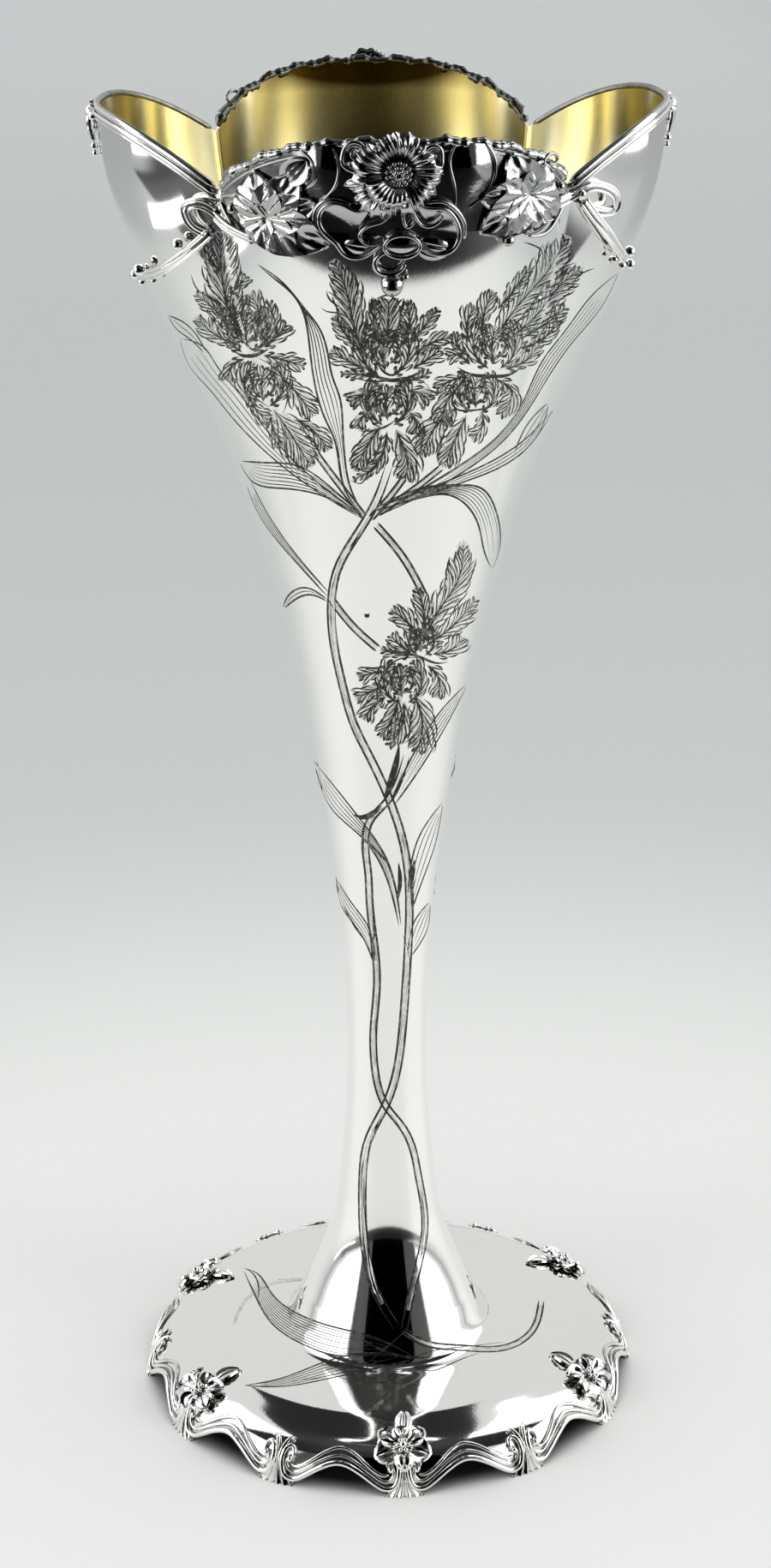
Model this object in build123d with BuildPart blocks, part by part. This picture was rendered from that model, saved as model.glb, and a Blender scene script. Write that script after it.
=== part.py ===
import os
from math import cos, radians, sin, sqrt

from build123d import *

os.makedirs("parts", exist_ok=True)

# Trumpet vase in silver, millimetres. Z is up, the origin is on the table under the axis.
# The broad garlanded lobes face -Y and +Y, the plain side lobes face -X and +X.

# main sizes
rim_height = 510.0
side_lobe_radius = 98.5
front_lobe_radius = 91.6
valley_radius = 83.5
valley_height = 490.0
neck_radius = 15.4
neck_height = 152.0
wall = 1.2
joint_height = 36.0
joint_radius = 31.2
stock_height = 516.0

# trumpet stations: height, radius at the side lobes, at the front lobes, in the valleys
stations = [
    (joint_height, joint_radius, joint_radius, joint_radius),
    (48.0, 27.2, 27.2, 27.2),
    (66.0, 22.6, 22.6, 22.6),
    (90.0, 18.6, 18.6, 18.6),
    (118.0, 16.2, 16.2, 16.2),
    (neck_height, neck_radius, neck_radius, neck_radius),
    (190.0, 17.0, 17.0, 17.0),
    (225.0, 20.3, 20.3, 20.3),
    (265.0, 26.4, 26.4, 26.4),
    (305.0, 33.6, 33.6, 33.6),
    (345.0, 43.6, 43.4, 43.2),
    (380.0, 54.8, 54.0, 53.2),
    (410.0, 67.0, 64.4, 62.6),
    (438.0, 80.2, 74.6, 71.6),
    (464.0, 91.8, 83.8, 78.4),
    (valley_height, side_lobe_radius, front_lobe_radius - 1.4, valley_radius - 1.0),
    (stock_height, side_lobe_radius + 1.3, front_lobe_radius + 0.6, valley_radius + 0.8),
]

# rim outline of each lobe, seen square to a valley: half width, height of the shoulder
notch_half_width = 58.0
notch_shoulder_reach = 24.0
notch_shoulder_height = 503.6

# foot
foot_points = [
    (joint_radius, joint_height),
    (34.8, 29.4),
    (40.0, 24.4),
    (47.5, 21.8),
    (58.0, 20.6),
    (70.0, 19.9),
    (80.0, 18.4),
    (87.5, 15.6),
    (92.6, 11.4),
    (95.2, 6.0),
    (95.8, 3.4),
]
foot_radius = 100.0
boss_count = 12
flower_count = boss_count // 2
boss_step = 360.0 / boss_count
arch_half_width = 20.0
arch_height = 10.6
arch_foot = 3.4

# reeded border of the foot
reed_radius = 1.05
reed_pitch = 1.7
reed_count = 3
reed_back = 1.5
reed_mid = (reed_count - 1) / 2
border_arch_radius = 94.4
border_arch_height = 13.2
border_boss_radius = 97.2
border_boss_height = 5.8

# shell fans under the twelve bosses
fan_half_width = 6.4
fan_waist = 2.4
fan_waist_height = 7.0
fan_bend = 3.2
fan_bend_height = 2.6
fan_back_radius = 93.6
volute_radius = 3.0
volute_spread = 4.8
volute_height = 11.0
volute_front_radius = 99.0

# flower mounts on the shoulder of the foot
flower_radius = 88.5
flower_height = 15.0
flower_tilt = 50.0
flower_depth = 2.4
flower_petals = 6
flower_petal_radius = 4.3
flower_petal_reach = 7.6
flower_heart_radius = 3.0
flower_heart_lift = 2.8
flower_prism = 9.0
flower_leaf_start = 8.0
flower_leaf_end = 18.0
flower_leaf_half = 3.0

# skins over the trumpet wall that the cast mounts lie in
ribbon_depth = 1.4
leaf_depth = 2.8
petal_depth = 4.4
prism_reach = 130.0

# rim wire of the side lobes
rim_wire_depth = 1.5
rim_wire_drop = 4.0

# garland of a broad lobe, across and up as seen from the front
ribbon_half = 56.0
ribbon_end_height = 485.6
ribbon_foot = (49.0, 478.0)
ribbon_inner = (41.0, 480.2)
ribbon_mid_height = 479.0
bloom_height = 500.4
bloom_radius = 11.0
bloom_petals = 13
bloom_petal_radius = 3.2
bloom_heart_radius = 3.8
bloom_heart_lift = 0.4
bloom_bead_count = 12
bloom_bead_radius = 1.1
bloom_bead_reach = 4.9
left_leaf_centre = (-41.0, 488.2)
left_leaf_lobes = ((105, 12.0), (52, 14.0), (-2, 14.5), (-48, 15.0), (-100, 8.5), (165, 8.0))
right_leaf_centre = (43.5, 489.2)
right_leaf_lobes = ((100, 15.0), (148, 12.5), (205, 14.5), (252, 11.5), (312, 11.0), (25, 9.5))
leaf_lobe_share = 0.3
scroll_centre = (18.0, 487.0)
scroll_radius = 6.2
scroll_strap = 2.6
scroll_gap_turn = 215.0
scroll_gap_half = 3.4
petal_outer = (22.0, 482.2)
petal_inner = (9.0, 476.4)
petal_bulge_high = (14.5, 482.4)
petal_bulge_low = (15.5, 475.0)
oval_height = 478.8
oval_half_width = 8.0
oval_half_height = 3.3
link_height = 471.6
link_half_width = 1.6
link_half_height = 3.1
pendant_height = 464.8
pendant_radius = 4.0
pendant_lift = 2.0

# whiplash straps that fold over the valleys: azimuth from the front, height, distance off the wall
strap_radius = 1.6
loop_points = ((46.8, 487.2, 1.0), (50.5, 488.0, 2.2), (54.6, 484.6, 3.0), (53.4, 480.0, 2.6))
bar_radius = 1.3
bar_points = ((51.0, 483.0, 2.0), (57.0, 472.6, 2.8), (64.0, 461.4, 3.4))
ball_radius = 2.7
small_ball_radius = 2.2
small_ball_point = (66.0, 458.6, 2.8)
bead_radius = 1.9
bead_point = (58.6, 473.2, 2.0)

# lumps and drip on the tips of the side lobes
tip_height = 507.4
tip_radius = 3.6
tip_lift = 1.2
drip_top_height = 504.6
drip_length = 8.6
drip_top_radius = 2.2
drip_end_radius = 0.9
drip_lift = 1.8
drop_heights = (495.6, 493.0)
drop_radii = (1.6, 1.3)

# water floor low in the stem
floor_height = 62.0
floor_thickness = 1.4


def trumpet_solid(growth):
    """Filled trumpet, its level sections grown by the given amount."""
    with BuildPart() as filled:
        for height, side, front, valley in stations:
            corner = (valley + growth) * sqrt(0.5)
            with BuildSketch(Plane.XY.offset(height)):
                with BuildLine():
                    ThreePointArc((corner, -corner), (side + growth, 0), (corner, corner))
                    ThreePointArc((corner, corner), (0, front + growth), (-corner, corner))
                    ThreePointArc((-corner, corner), (-side - growth, 0), (-corner, -corner))
                    ThreePointArc((-corner, -corner), (0, -front - growth), (corner, -corner))
                make_face()
        loft()
    return filled.part


def notch_cutter(drop):
    """Material above the lobed rim, lowered by the given amount."""
    reach = foot_radius * 2
    top = stock_height + wall
    with BuildPart() as cutter:
        for corner in range(4):
            turn = 45.0 + 90.0 * corner
            across = Plane(origin=(0, 0, 0), x_dir=(-sin(radians(turn)), cos(radians(turn)), 0),
                           z_dir=(cos(radians(turn)), sin(radians(turn)), 0))
            with BuildSketch(across):
                with BuildLine():
                    right = (notch_half_width, rim_height - drop)
                    left = (-notch_half_width, rim_height - drop)
                    low = (0, valley_height - drop)
                    shoulder = notch_shoulder_height - drop
                    ThreePointArc(low, (notch_shoulder_reach, shoulder), right)
                    Line(right, (notch_half_width * 2, rim_height - drop))
                    Line((notch_half_width * 2, rim_height - drop), (notch_half_width * 2, top))
                    Line((notch_half_width * 2, top), (-notch_half_width * 2, top))
                    Line((-notch_half_width * 2, top), (-notch_half_width * 2, rim_height - drop))
                    Line((-notch_half_width * 2, rim_height - drop), left)
                    ThreePointArc(left, (-notch_shoulder_reach, shoulder), low)
                make_face()
            extrude(amount=reach)
    return cutter.part


def foot_solid(growth):
    """Filled foot under its turned outline, grown square to the outline."""
    grown = []
    last = len(foot_points) - 1
    for index, (radius, height) in enumerate(foot_points):
        before = foot_points[max(index - 1, 0)]
        after = foot_points[min(index + 1, last)]
        run = after[0] - before[0]
        fall = before[1] - after[1]
        size = sqrt(run * run + fall * fall)
        if index in (0, last):
            grown.append((radius + growth, height))
        else:
            grown.append((radius + growth * fall / size, height + growth * run / size))
    with BuildPart() as filled:
        with BuildSketch(Plane.XZ):
            with BuildLine():
                Spline(grown)
                Line(grown[-1], (0, grown[-1][1]))
                Line((0, grown[-1][1]), (0, grown[0][1]))
                Line((0, grown[0][1]), grown[0])
            make_face()
        revolve(axis=Axis.Z)
    return filled.part


def wall_radius(azimuth, height):
    """Outer radius of the trumpet, azimuth in degrees from the front (-Y) towards +X."""
    for low, high in zip(stations, stations[1:]):
        if low[0] <= height <= high[0]:
            share = (height - low[0]) / (high[0] - low[0])
            side, front, valley = (a + (b - a) * share for a, b in zip(low[1:], high[1:]))
    turn = azimuth % 180
    turn = min(turn, 180 - turn)
    apex = front if turn <= 45 else side
    off = radians(turn if turn <= 45 else 90 - turn)
    half = valley * sqrt(0.5)
    rise = apex - half
    arc = (half * half + rise * rise) / (2 * rise)
    centre = apex - arc
    return centre * cos(off) + sqrt(arc * arc - (centre * sin(off)) ** 2)


def off_wall(azimuth, height, gap):
    """Point at the given distance off the trumpet wall."""
    radius = wall_radius(azimuth, height) + gap
    return (radius * sin(radians(azimuth)), -radius * cos(radians(azimuth)), height)


# filled forms that the parts are cut from
trumpet_form = trumpet_solid(0)
hollow_form = trumpet_solid(-wall)
above_rim = notch_cutter(0)
above_wire = notch_cutter(rim_wire_drop)
foot_form = foot_solid(0)
foot_hollow = foot_solid(-wall)

# trumpet
with BuildPart() as trumpet_body:
    add(trumpet_form)
    add(hollow_form, mode=Mode.SUBTRACT)
    add(above_rim, mode=Mode.SUBTRACT)

# foot: flare and dome, its lower edge arched between the bosses
with BuildPart() as foot_dome:
    add(foot_form)
    add(foot_hollow, mode=Mode.SUBTRACT)
    for index in range(boss_count):
        turn = radians(boss_step * (index + 0.5))
        across = Plane(origin=(0, 0, 0), x_dir=(cos(turn), sin(turn), 0), z_dir=(sin(turn), -cos(turn), 0))
        with BuildSketch(across):
            with BuildLine():
                ThreePointArc((-arch_half_width, arch_foot), (0, arch_height), (arch_half_width, arch_foot))
                Line((arch_half_width, arch_foot), (arch_half_width, 0))
                Line((arch_half_width, 0), (-arch_half_width, 0))
                Line((-arch_half_width, 0), (-arch_half_width, arch_foot))
            make_face()
        extrude(amount=foot_radius * 2, mode=Mode.SUBTRACT)

# water floor low in the stem
with BuildPart() as stem_floor:
    with Locations((0, 0, floor_height)):
        Cylinder(joint_radius, floor_thickness, align=(Align.CENTER, Align.CENTER, Align.MIN))
    add(hollow_form, mode=Mode.INTERSECT)

# reeded border that rides over the arches, half a span from boss to arch
half_step = radians(boss_step / 2)
boss_point = (0, -border_boss_radius, border_boss_height)
arch_point = (border_arch_radius * sin(half_step), -border_arch_radius * cos(half_step), border_arch_height)
with BuildPart() as border_half:
    with BuildLine() as wave:
        Spline(boss_point, arch_point, tangents=[(1, 0, 0), (cos(half_step), sin(half_step), 0)])
    with BuildSketch(Plane(origin=boss_point, x_dir=(0, -1, 0), z_dir=(1, 0, 0))):
        for index in range(reed_count):
            with Locations((0, (index - reed_mid) * reed_pitch)):
                Circle(reed_radius)
        Rectangle(reed_back, reed_pitch * reed_count, align=(Align.MAX, Align.CENTER))
    sweep(path=wave.wires()[0])
    add(foot_form, mode=Mode.SUBTRACT)
halves = (border_half.part, mirror(border_half.part, about=Plane.YZ))
spans = [half.rotate(Axis.Z, boss_step * index) for index in range(boss_count) for half in halves]
with BuildPart() as foot_border:
    add(spans)

# shell fan with its two volutes, standing on the table
with BuildPart() as fan_foot:
    with BuildSketch(Plane.XZ.offset(fan_back_radius)):
        with BuildLine():
            right = (fan_half_width, 0)
            waist = (fan_waist, fan_waist_height)
            ThreePointArc(right, (fan_bend, fan_bend_height), waist)
            Line(waist, (fan_waist, volute_height))
            Line((fan_waist, volute_height), (-fan_waist, volute_height))
            Line((-fan_waist, volute_height), (-fan_waist, fan_waist_height))
            ThreePointArc((-fan_waist, fan_waist_height), (-fan_bend, fan_bend_height), (-fan_half_width, 0))
            Line((-fan_half_width, 0), right)
        make_face()
    extrude(amount=foot_radius - fan_back_radius)
    with BuildSketch(Plane.XZ.offset(fan_back_radius)):
        with Locations((-volute_spread, volute_height), (volute_spread, volute_height)):
            Circle(volute_radius)
    extrude(amount=volute_front_radius - fan_back_radius)
    add(foot_form, mode=Mode.SUBTRACT)
    add(border_half.part, mode=Mode.SUBTRACT)
    add(halves[1], mode=Mode.SUBTRACT)

# flower and leaf on the shoulder of the foot
tilt = radians(flower_tilt)
flower_plane = Plane(origin=(0, -flower_radius, flower_height), x_dir=(1, 0, 0), z_dir=(0, -cos(tilt), sin(tilt)))
flower_skin = foot_solid(flower_depth) - foot_form
with BuildPart() as foot_flower:
    with BuildSketch(flower_plane):
        Circle(flower_petal_reach)
        with PolarLocations(flower_petal_reach, flower_petals):
            Circle(flower_petal_radius)
        with BuildLine():
            middle = (flower_leaf_start + flower_leaf_end) / 2
            ThreePointArc((0, 0), (flower_leaf_half, middle), (0, flower_leaf_end))
            ThreePointArc((0, flower_leaf_end), (-flower_leaf_half, middle), (0, 0))
        make_face()
    extrude(amount=flower_prism, both=True)
    add(flower_skin, mode=Mode.INTERSECT)
    with Locations(flower_plane.offset(flower_heart_lift)):
        Sphere(flower_heart_radius)
    add(foot_form, mode=Mode.SUBTRACT)
    add(border_half.part, mode=Mode.SUBTRACT)
    add(halves[1], mode=Mode.SUBTRACT)
    add(fan_foot.part, mode=Mode.SUBTRACT)

# skins of the trumpet
ribbon_form = trumpet_solid(ribbon_depth)
leaf_form = trumpet_solid(leaf_depth)
petal_form = trumpet_solid(petal_depth)
leaf_skin = leaf_form - trumpet_form
petal_skin = petal_form - trumpet_form

# wire round the edge of a side lobe
with BuildPart() as rim_wire:
    add(trumpet_solid(rim_wire_depth))
    add(above_wire, mode=Mode.INTERSECT)
    add(trumpet_form, mode=Mode.SUBTRACT)
    add(above_rim, mode=Mode.SUBTRACT)
    with BuildSketch(Plane.XY.offset(valley_height / 2)):
        Polygon((0, 0), (prism_reach, -prism_reach), (prism_reach, prism_reach), align=None)
    extrude(amount=valley_height, mode=Mode.INTERSECT)

# smooth ribbon behind the flowers of a broad lobe
with BuildPart() as garland_ribbon:
    with BuildSketch(Plane.XZ):
        with BuildLine():
            ThreePointArc((-ribbon_inner[0], ribbon_inner[1]), (0, ribbon_mid_height), ribbon_inner)
            ThreePointArc(ribbon_inner, ribbon_foot, (ribbon_half, ribbon_end_height))
            Line((ribbon_half, ribbon_end_height), (ribbon_half, stock_height))
            Line((ribbon_half, stock_height), (-ribbon_half, stock_height))
            Line((-ribbon_half, stock_height), (-ribbon_half, ribbon_end_height))
            ThreePointArc((-ribbon_half, ribbon_end_height), (-ribbon_foot[0], ribbon_foot[1]),
                          (-ribbon_inner[0], ribbon_inner[1]))
        make_face()
    extrude(amount=prism_reach)
    add(ribbon_form, mode=Mode.INTERSECT)
    add(trumpet_form, mode=Mode.SUBTRACT)
    add(above_rim, mode=Mode.SUBTRACT)

# large bloom and its beaded heart
with BuildPart() as bloom:
    with BuildSketch(Plane.XZ):
        with Locations((0, bloom_height)):
            Circle(bloom_radius)
            with PolarLocations(bloom_radius, bloom_petals, start_angle=90):
                Circle(bloom_petal_radius)
    extrude(amount=prism_reach)
    add(petal_skin, mode=Mode.INTERSECT)
    add(garland_ribbon.part, mode=Mode.SUBTRACT)

heart_face = wall_radius(0, bloom_height) + petal_depth
with BuildPart() as bloom_heart:
    with BuildSketch(Plane.XZ.offset(heart_face - petal_depth / 2)):
        with Locations((0, bloom_height)):
            Circle(bloom_bead_reach)
            with PolarLocations(bloom_bead_reach, bloom_bead_count):
                Circle(bloom_bead_radius)
    extrude(amount=petal_depth / 2 + bloom_bead_radius)
    with Locations((0, -heart_face - bloom_heart_lift, bloom_height)):
        Sphere(bloom_heart_radius)
    add(petal_form, mode=Mode.SUBTRACT)

# vine leaves
vine_leaves = []
for centre, lobes in ((left_leaf_centre, left_leaf_lobes), (right_leaf_centre, right_leaf_lobes)):
    with BuildPart() as vine_leaf:
        with BuildSketch(Plane.XZ):
            for turn, length in lobes:
                way = (cos(radians(turn)), sin(radians(turn)))
                tip = (centre[0] + way[0] * length, centre[1] + way[1] * length)
                swell = length * leaf_lobe_share
                mid = ((centre[0] + tip[0]) / 2, (centre[1] + tip[1]) / 2)
                with BuildLine():
                    ThreePointArc(centre, (mid[0] - way[1] * swell, mid[1] + way[0] * swell), tip)
                    ThreePointArc(tip, (mid[0] + way[1] * swell, mid[1] - way[0] * swell), centre)
                make_face()
            with Locations(centre):
                Circle(scroll_strap)
        extrude(amount=prism_reach)
        add(leaf_skin, mode=Mode.INTERSECT)
        add(garland_ribbon.part, mode=Mode.SUBTRACT)
    vine_leaves.append(vine_leaf.part)

# scroll with the petal below it
with BuildPart() as garland_scroll:
    with BuildSketch(Plane.XZ):
        with Locations(scroll_centre):
            Circle(scroll_radius)
            Circle(scroll_radius - scroll_strap, mode=Mode.SUBTRACT)
        with Locations(Location((scroll_centre[0], scroll_centre[1], 0), (0, 0, scroll_gap_turn))):
            Rectangle(scroll_radius * 2, scroll_gap_half * 2, align=(Align.MIN, Align.CENTER), mode=Mode.SUBTRACT)
        with BuildLine():
            ThreePointArc(petal_inner, petal_bulge_high, petal_outer)
            ThreePointArc(petal_outer, petal_bulge_low, petal_inner)
        make_face()
    extrude(amount=prism_reach)
    add(petal_skin, mode=Mode.INTERSECT)
    add(garland_ribbon.part, mode=Mode.SUBTRACT)

# oval boss and pendant ball
with BuildPart() as oval_boss:
    with BuildSketch(Plane.XZ):
        with Locations((0, oval_height)):
            Ellipse(oval_half_width, oval_half_height)
    extrude(amount=prism_reach)
    add(petal_skin, mode=Mode.INTERSECT)
    add(garland_ribbon.part, mode=Mode.SUBTRACT)

with BuildPart() as pendant_ball:
    with BuildSketch(Plane.XZ):
        with Locations((0, link_height)):
            Ellipse(link_half_width, link_half_height)
    extrude(amount=prism_reach)
    add(leaf_skin, mode=Mode.INTERSECT)
    with Locations(off_wall(0, pendant_height, pendant_lift)):
        Sphere(pendant_radius)
    add(trumpet_form, mode=Mode.SUBTRACT)
    add(oval_boss.part, mode=Mode.SUBTRACT)

# whiplash strap: fold over the valley, bar and balls
loop_path = [off_wall(*point) for point in loop_points]
bar_path = [off_wall(*point) for point in bar_points]
with BuildPart() as whiplash:
    with BuildLine() as loop_line:
        Spline(loop_path)
    with BuildSketch(Plane(origin=loop_line.wires()[0] @ 0, z_dir=loop_line.wires()[0] % 0)):
        Circle(strap_radius)
    sweep(path=loop_line.wires()[0])
    with BuildLine() as bar_line:
        Spline(bar_path)
    with BuildSketch(Plane(origin=bar_line.wires()[0] @ 0, z_dir=bar_line.wires()[0] % 0)):
        Circle(bar_radius)
    sweep(path=bar_line.wires()[0])
    with Locations(bar_path[-1]):
        Sphere(ball_radius)
    with Locations(off_wall(*small_ball_point)):
        Sphere(small_ball_radius)
    with Locations(off_wall(*bead_point)):
        Sphere(bead_radius)
    add(trumpet_form, mode=Mode.SUBTRACT)
    add(rim_wire.part, mode=Mode.SUBTRACT)
    add(garland_ribbon.part, mode=Mode.SUBTRACT)

# lump and drip on the tip of a side lobe
with BuildPart() as rim_tip:
    with Locations(off_wall(90, tip_height, tip_lift)):
        Sphere(tip_radius)
    with Locations(off_wall(90, drip_top_height, drip_lift)):
        Cone(drip_end_radius, drip_top_radius, drip_length, align=(Align.CENTER, Align.CENTER, Align.MAX))
    for height, radius in zip(drop_heights, drop_radii):
        with Locations(off_wall(90, height, drip_lift)):
            Sphere(radius)
    add(trumpet_form, mode=Mode.SUBTRACT)
    add(rim_wire.part, mode=Mode.SUBTRACT)

named = {
    "trumpet_body": trumpet_body.part,
    "foot_dome": foot_dome.part,
    "stem_floor": stem_floor.part,
    "foot_border": foot_border.part,
    "rim_wire_right": rim_wire.part,
    "rim_wire_left": rim_wire.part.rotate(Axis.Z, 180),
    "rim_tip_right": rim_tip.part,
    "rim_tip_left": rim_tip.part.rotate(Axis.Z, 180),
}
for index in range(boss_count):
    named[f"fan_foot_{index + 1}"] = fan_foot.part.rotate(Axis.Z, boss_step * index)
for index in range(flower_count):
    named[f"foot_flower_{index + 1}"] = foot_flower.part.rotate(Axis.Z, boss_step * 2 * index)
garland = {
    "garland_ribbon": garland_ribbon.part,
    "bloom": bloom.part,
    "bloom_heart": bloom_heart.part,
    "vine_leaf_left": vine_leaves[0],
    "vine_leaf_right": vine_leaves[1],
    "scroll_left": mirror(garland_scroll.part, about=Plane.YZ),
    "scroll_right": garland_scroll.part,
    "oval_boss": oval_boss.part,
    "pendant_ball": pendant_ball.part,
    "whiplash_left": mirror(whiplash.part, about=Plane.YZ),
    "whiplash_right": whiplash.part,
}
for name, part in garland.items():
    named[name + "_front"] = part
    named[name + "_back"] = part.rotate(Axis.Z, 180)

for name, part in named.items():
    part.label = name
    export_step(part, f"parts/{name}.step")
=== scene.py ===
from math import cos, pi, radians, sin, sqrt

import bpy
import numpy as np
from mathutils import Matrix, Vector


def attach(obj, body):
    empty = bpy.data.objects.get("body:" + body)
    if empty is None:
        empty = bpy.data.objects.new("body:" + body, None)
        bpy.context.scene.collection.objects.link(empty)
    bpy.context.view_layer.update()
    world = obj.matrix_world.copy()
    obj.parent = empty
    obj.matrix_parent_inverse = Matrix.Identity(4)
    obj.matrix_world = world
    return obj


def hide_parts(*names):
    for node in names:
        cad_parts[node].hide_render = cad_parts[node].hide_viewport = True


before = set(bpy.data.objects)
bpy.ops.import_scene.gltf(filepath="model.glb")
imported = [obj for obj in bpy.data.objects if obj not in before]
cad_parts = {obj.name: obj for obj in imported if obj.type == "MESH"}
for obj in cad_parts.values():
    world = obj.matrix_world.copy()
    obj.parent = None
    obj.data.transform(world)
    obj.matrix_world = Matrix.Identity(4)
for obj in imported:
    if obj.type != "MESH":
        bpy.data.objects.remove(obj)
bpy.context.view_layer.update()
MM = 0.001

# Sizes of the vase in millimetres
# Stations of the trumpet: height, radius at the side lobes, at the garlanded lobes and in the valleys
STATIONS = np.array([
    (36, 34.2, 34.2, 34.2), (48, 28.9, 28.9, 28.9), (66, 22.3, 22.3, 22.3), (90, 18.6, 18.6, 18.6),
    (118, 16.2, 16.2, 16.2), (152, 15.4, 15.4, 15.4), (190, 17, 17, 17), (225, 20.3, 20.3, 20.3),
    (265, 26.4, 26.4, 26.4), (305, 33.6, 33.6, 33.6), (345, 43.6, 43.4, 43.2), (380, 54.8, 54, 53.2),
    (410, 67, 64.4, 62.6), (438, 80.2, 74.6, 71.6), (464, 91.8, 83.8, 78.4), (490, 98.5, 90.2, 82.5),
    (516, 99.8, 92.2, 84.3)], float)
WALL = 1.2
JOINT = 36.0
RIM = 510.0
VALLEY = 490.0
NOTCH = ((0, VALLEY), (24, 503.6), (58, RIM))
NOTCH_LEVEL = 502.0
# Skin of the foot from the joint down: radius, height
FOOT = np.array([
    (34.2, JOINT), (37.2, 29.4), (39.7, 24.2), (41.6, 21.8), (44.8, 20.8), (50, 20.5), (58, 20.3), (69, 20.0),
    (73.5, 19.7), (80, 18.2), (87.5, 15.6), (92.6, 11.4), (95.2, 6), (95.8, 3.4)], float)
SHOULDER = 88.5
BOSSES = 12
BOSS_STEP = 360.0 / BOSSES
ARCH = ((-20, 3.4), (0, 10.6), (20, 3.4))
ARCH_RADIUS, BORDER_RADIUS = 94.0, 94.4
# Radii near the rim, which turn a place across a lobe into its azimuth
BROAD_RADIUS, SIDE_RADIUS = 90.0, 98.0


def smooth_curve(xs, ys):
    """Natural cubic through the given stations."""
    xs, ys = np.asarray(xs, float), np.asarray(ys, float)
    n = len(xs)
    h = np.diff(xs)
    a = np.zeros((n, n))
    b = np.zeros(n)
    a[0, 0] = a[-1, -1] = 1
    for i in range(1, n - 1):
        a[i, i - 1:i + 2] = h[i - 1], 2 * (h[i - 1] + h[i]), h[i]
        b[i] = 6 * ((ys[i + 1] - ys[i]) / h[i] - (ys[i] - ys[i - 1]) / h[i - 1])
    m = np.linalg.solve(a, b)

    def value(x):
        x = np.asarray(x, float)
        i = np.clip(np.searchsorted(xs, x) - 1, 0, n - 2)
        d0, d1 = x - xs[i], xs[i + 1] - x
        return (m[i] * d1 ** 3 + m[i + 1] * d0 ** 3) / (6 * h[i]) + (ys[i] / h[i] - m[i] * h[i] / 6) * d1 \
            + (ys[i + 1] / h[i] - m[i + 1] * h[i] / 6) * d0
    return value


def flow(points, count):
    """Smooth line of count points, evenly spaced, through a few."""
    points = np.asarray(points, float)
    steps = np.concatenate([[0], np.cumsum(np.linalg.norm(np.diff(points, axis=0), axis=1))])
    at = np.linspace(0, steps[-1], count)
    return np.stack([smooth_curve(steps, column)(at) for column in points.T], -1)


def circle_through(p, q, r):
    """Centre and radius of the arc through three points."""
    (ax, ay), (bx, by), (cx, cy) = p, q, r
    d = 2 * (ax * (by - cy) + bx * (cy - ay) + cx * (ay - by))
    sa, sb, sc = ax * ax + ay * ay, bx * bx + by * by, cx * cx + cy * cy
    ux = (sa * (by - cy) + sb * (cy - ay) + sc * (ay - by)) / d
    uy = (sa * (cx - bx) + sb * (ax - cx) + sc * (bx - ax)) / d
    return ux, uy, sqrt((ax - ux) ** 2 + (ay - uy) ** 2)


side_at, front_at, valley_at = (smooth_curve(STATIONS[:, 0], STATIONS[:, k]) for k in (1, 2, 3))


def floats(*values):
    """Values as float arrays of one shape."""
    return [np.asarray(a, float) for a in np.broadcast_arrays(*values)]


def wall_radius(az, z):
    """Outer radius of the trumpet. az is in degrees from the front, -Y, towards +X."""
    az, z = floats(az, z)
    turn = np.mod(az, 180)
    turn = np.minimum(turn, 180 - turn)
    broad = turn <= 45
    apex = np.where(broad, front_at(z), side_at(z))
    off = np.radians(np.where(broad, turn, 90 - turn))
    half = valley_at(z) * sqrt(0.5)
    rise = np.maximum(apex - half, 1e-6)
    arc = (half * half + rise * rise) / (2 * rise)
    centre = apex - arc
    return centre * np.cos(off) + np.sqrt(np.maximum(arc * arc - (centre * np.sin(off)) ** 2, 0))


def polar(az, r, z):
    """Points at azimuth, radius and height."""
    az, r, z = floats(np.radians(az), r, z)
    return np.stack([r * np.sin(az), -r * np.cos(az), z], -1)


def heading(degrees):
    """Flat unit step, turned up from the right."""
    return np.array([cos(radians(degrees)), sin(radians(degrees))])


def unit(v):
    return v / np.maximum(np.linalg.norm(v, axis=-1, keepdims=True), 1e-12)


def wall_normal(az, z):
    """Outward normal of the trumpet."""
    d = 0.15
    along = polar(az + d, wall_radius(az + d, z), z) - polar(az - d, wall_radius(az - d, z), z)
    up = polar(az, wall_radius(az, z + d), z + d) - polar(az, wall_radius(az, z - d), z - d)
    return unit(np.cross(along, up))


def off_wall(az, z, w):
    """Point w off the wall, square to it."""
    az, z, w = floats(az, z, w)
    return polar(az, wall_radius(az, z), z) + wall_normal(az, z) * w[..., None]


def rim_height(az):
    """Height of the lobed edge."""
    cx, cz, r = circle_through(*NOTCH)
    off = np.radians(np.abs(np.mod(np.asarray(az, float), 90) - 45))
    u = wall_radius(az, NOTCH_LEVEL) * np.sin(off)
    return np.where(u < NOTCH[2][0], cz + np.sqrt(np.maximum(r * r - (u - cx) ** 2, 0)), RIM)


# The skin of the foot, measured along its outline from the joint
lengths = np.concatenate([[0], np.cumsum(np.hypot(*np.diff(FOOT, axis=0).T))])
foot_r, foot_z = smooth_curve(lengths, FOOT[:, 0]), smooth_curve(lengths, FOOT[:, 1])
foot_steps = np.linspace(0, lengths[-1], 800)
foot_radii, foot_heights = foot_r(foot_steps), foot_z(foot_steps)


def arch_height(az):
    """Lower edge of the foot skin."""
    cx, cz, r = circle_through(*ARCH)
    off = np.radians(np.mod(np.asarray(az, float), BOSS_STEP) - BOSS_STEP / 2)
    u = np.abs(ARCH_RADIUS * np.sin(off))
    return np.where(u < ARCH[2][0], cz + np.sqrt(np.maximum(r * r - u * u, 0)), ARCH[0][1])


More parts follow.
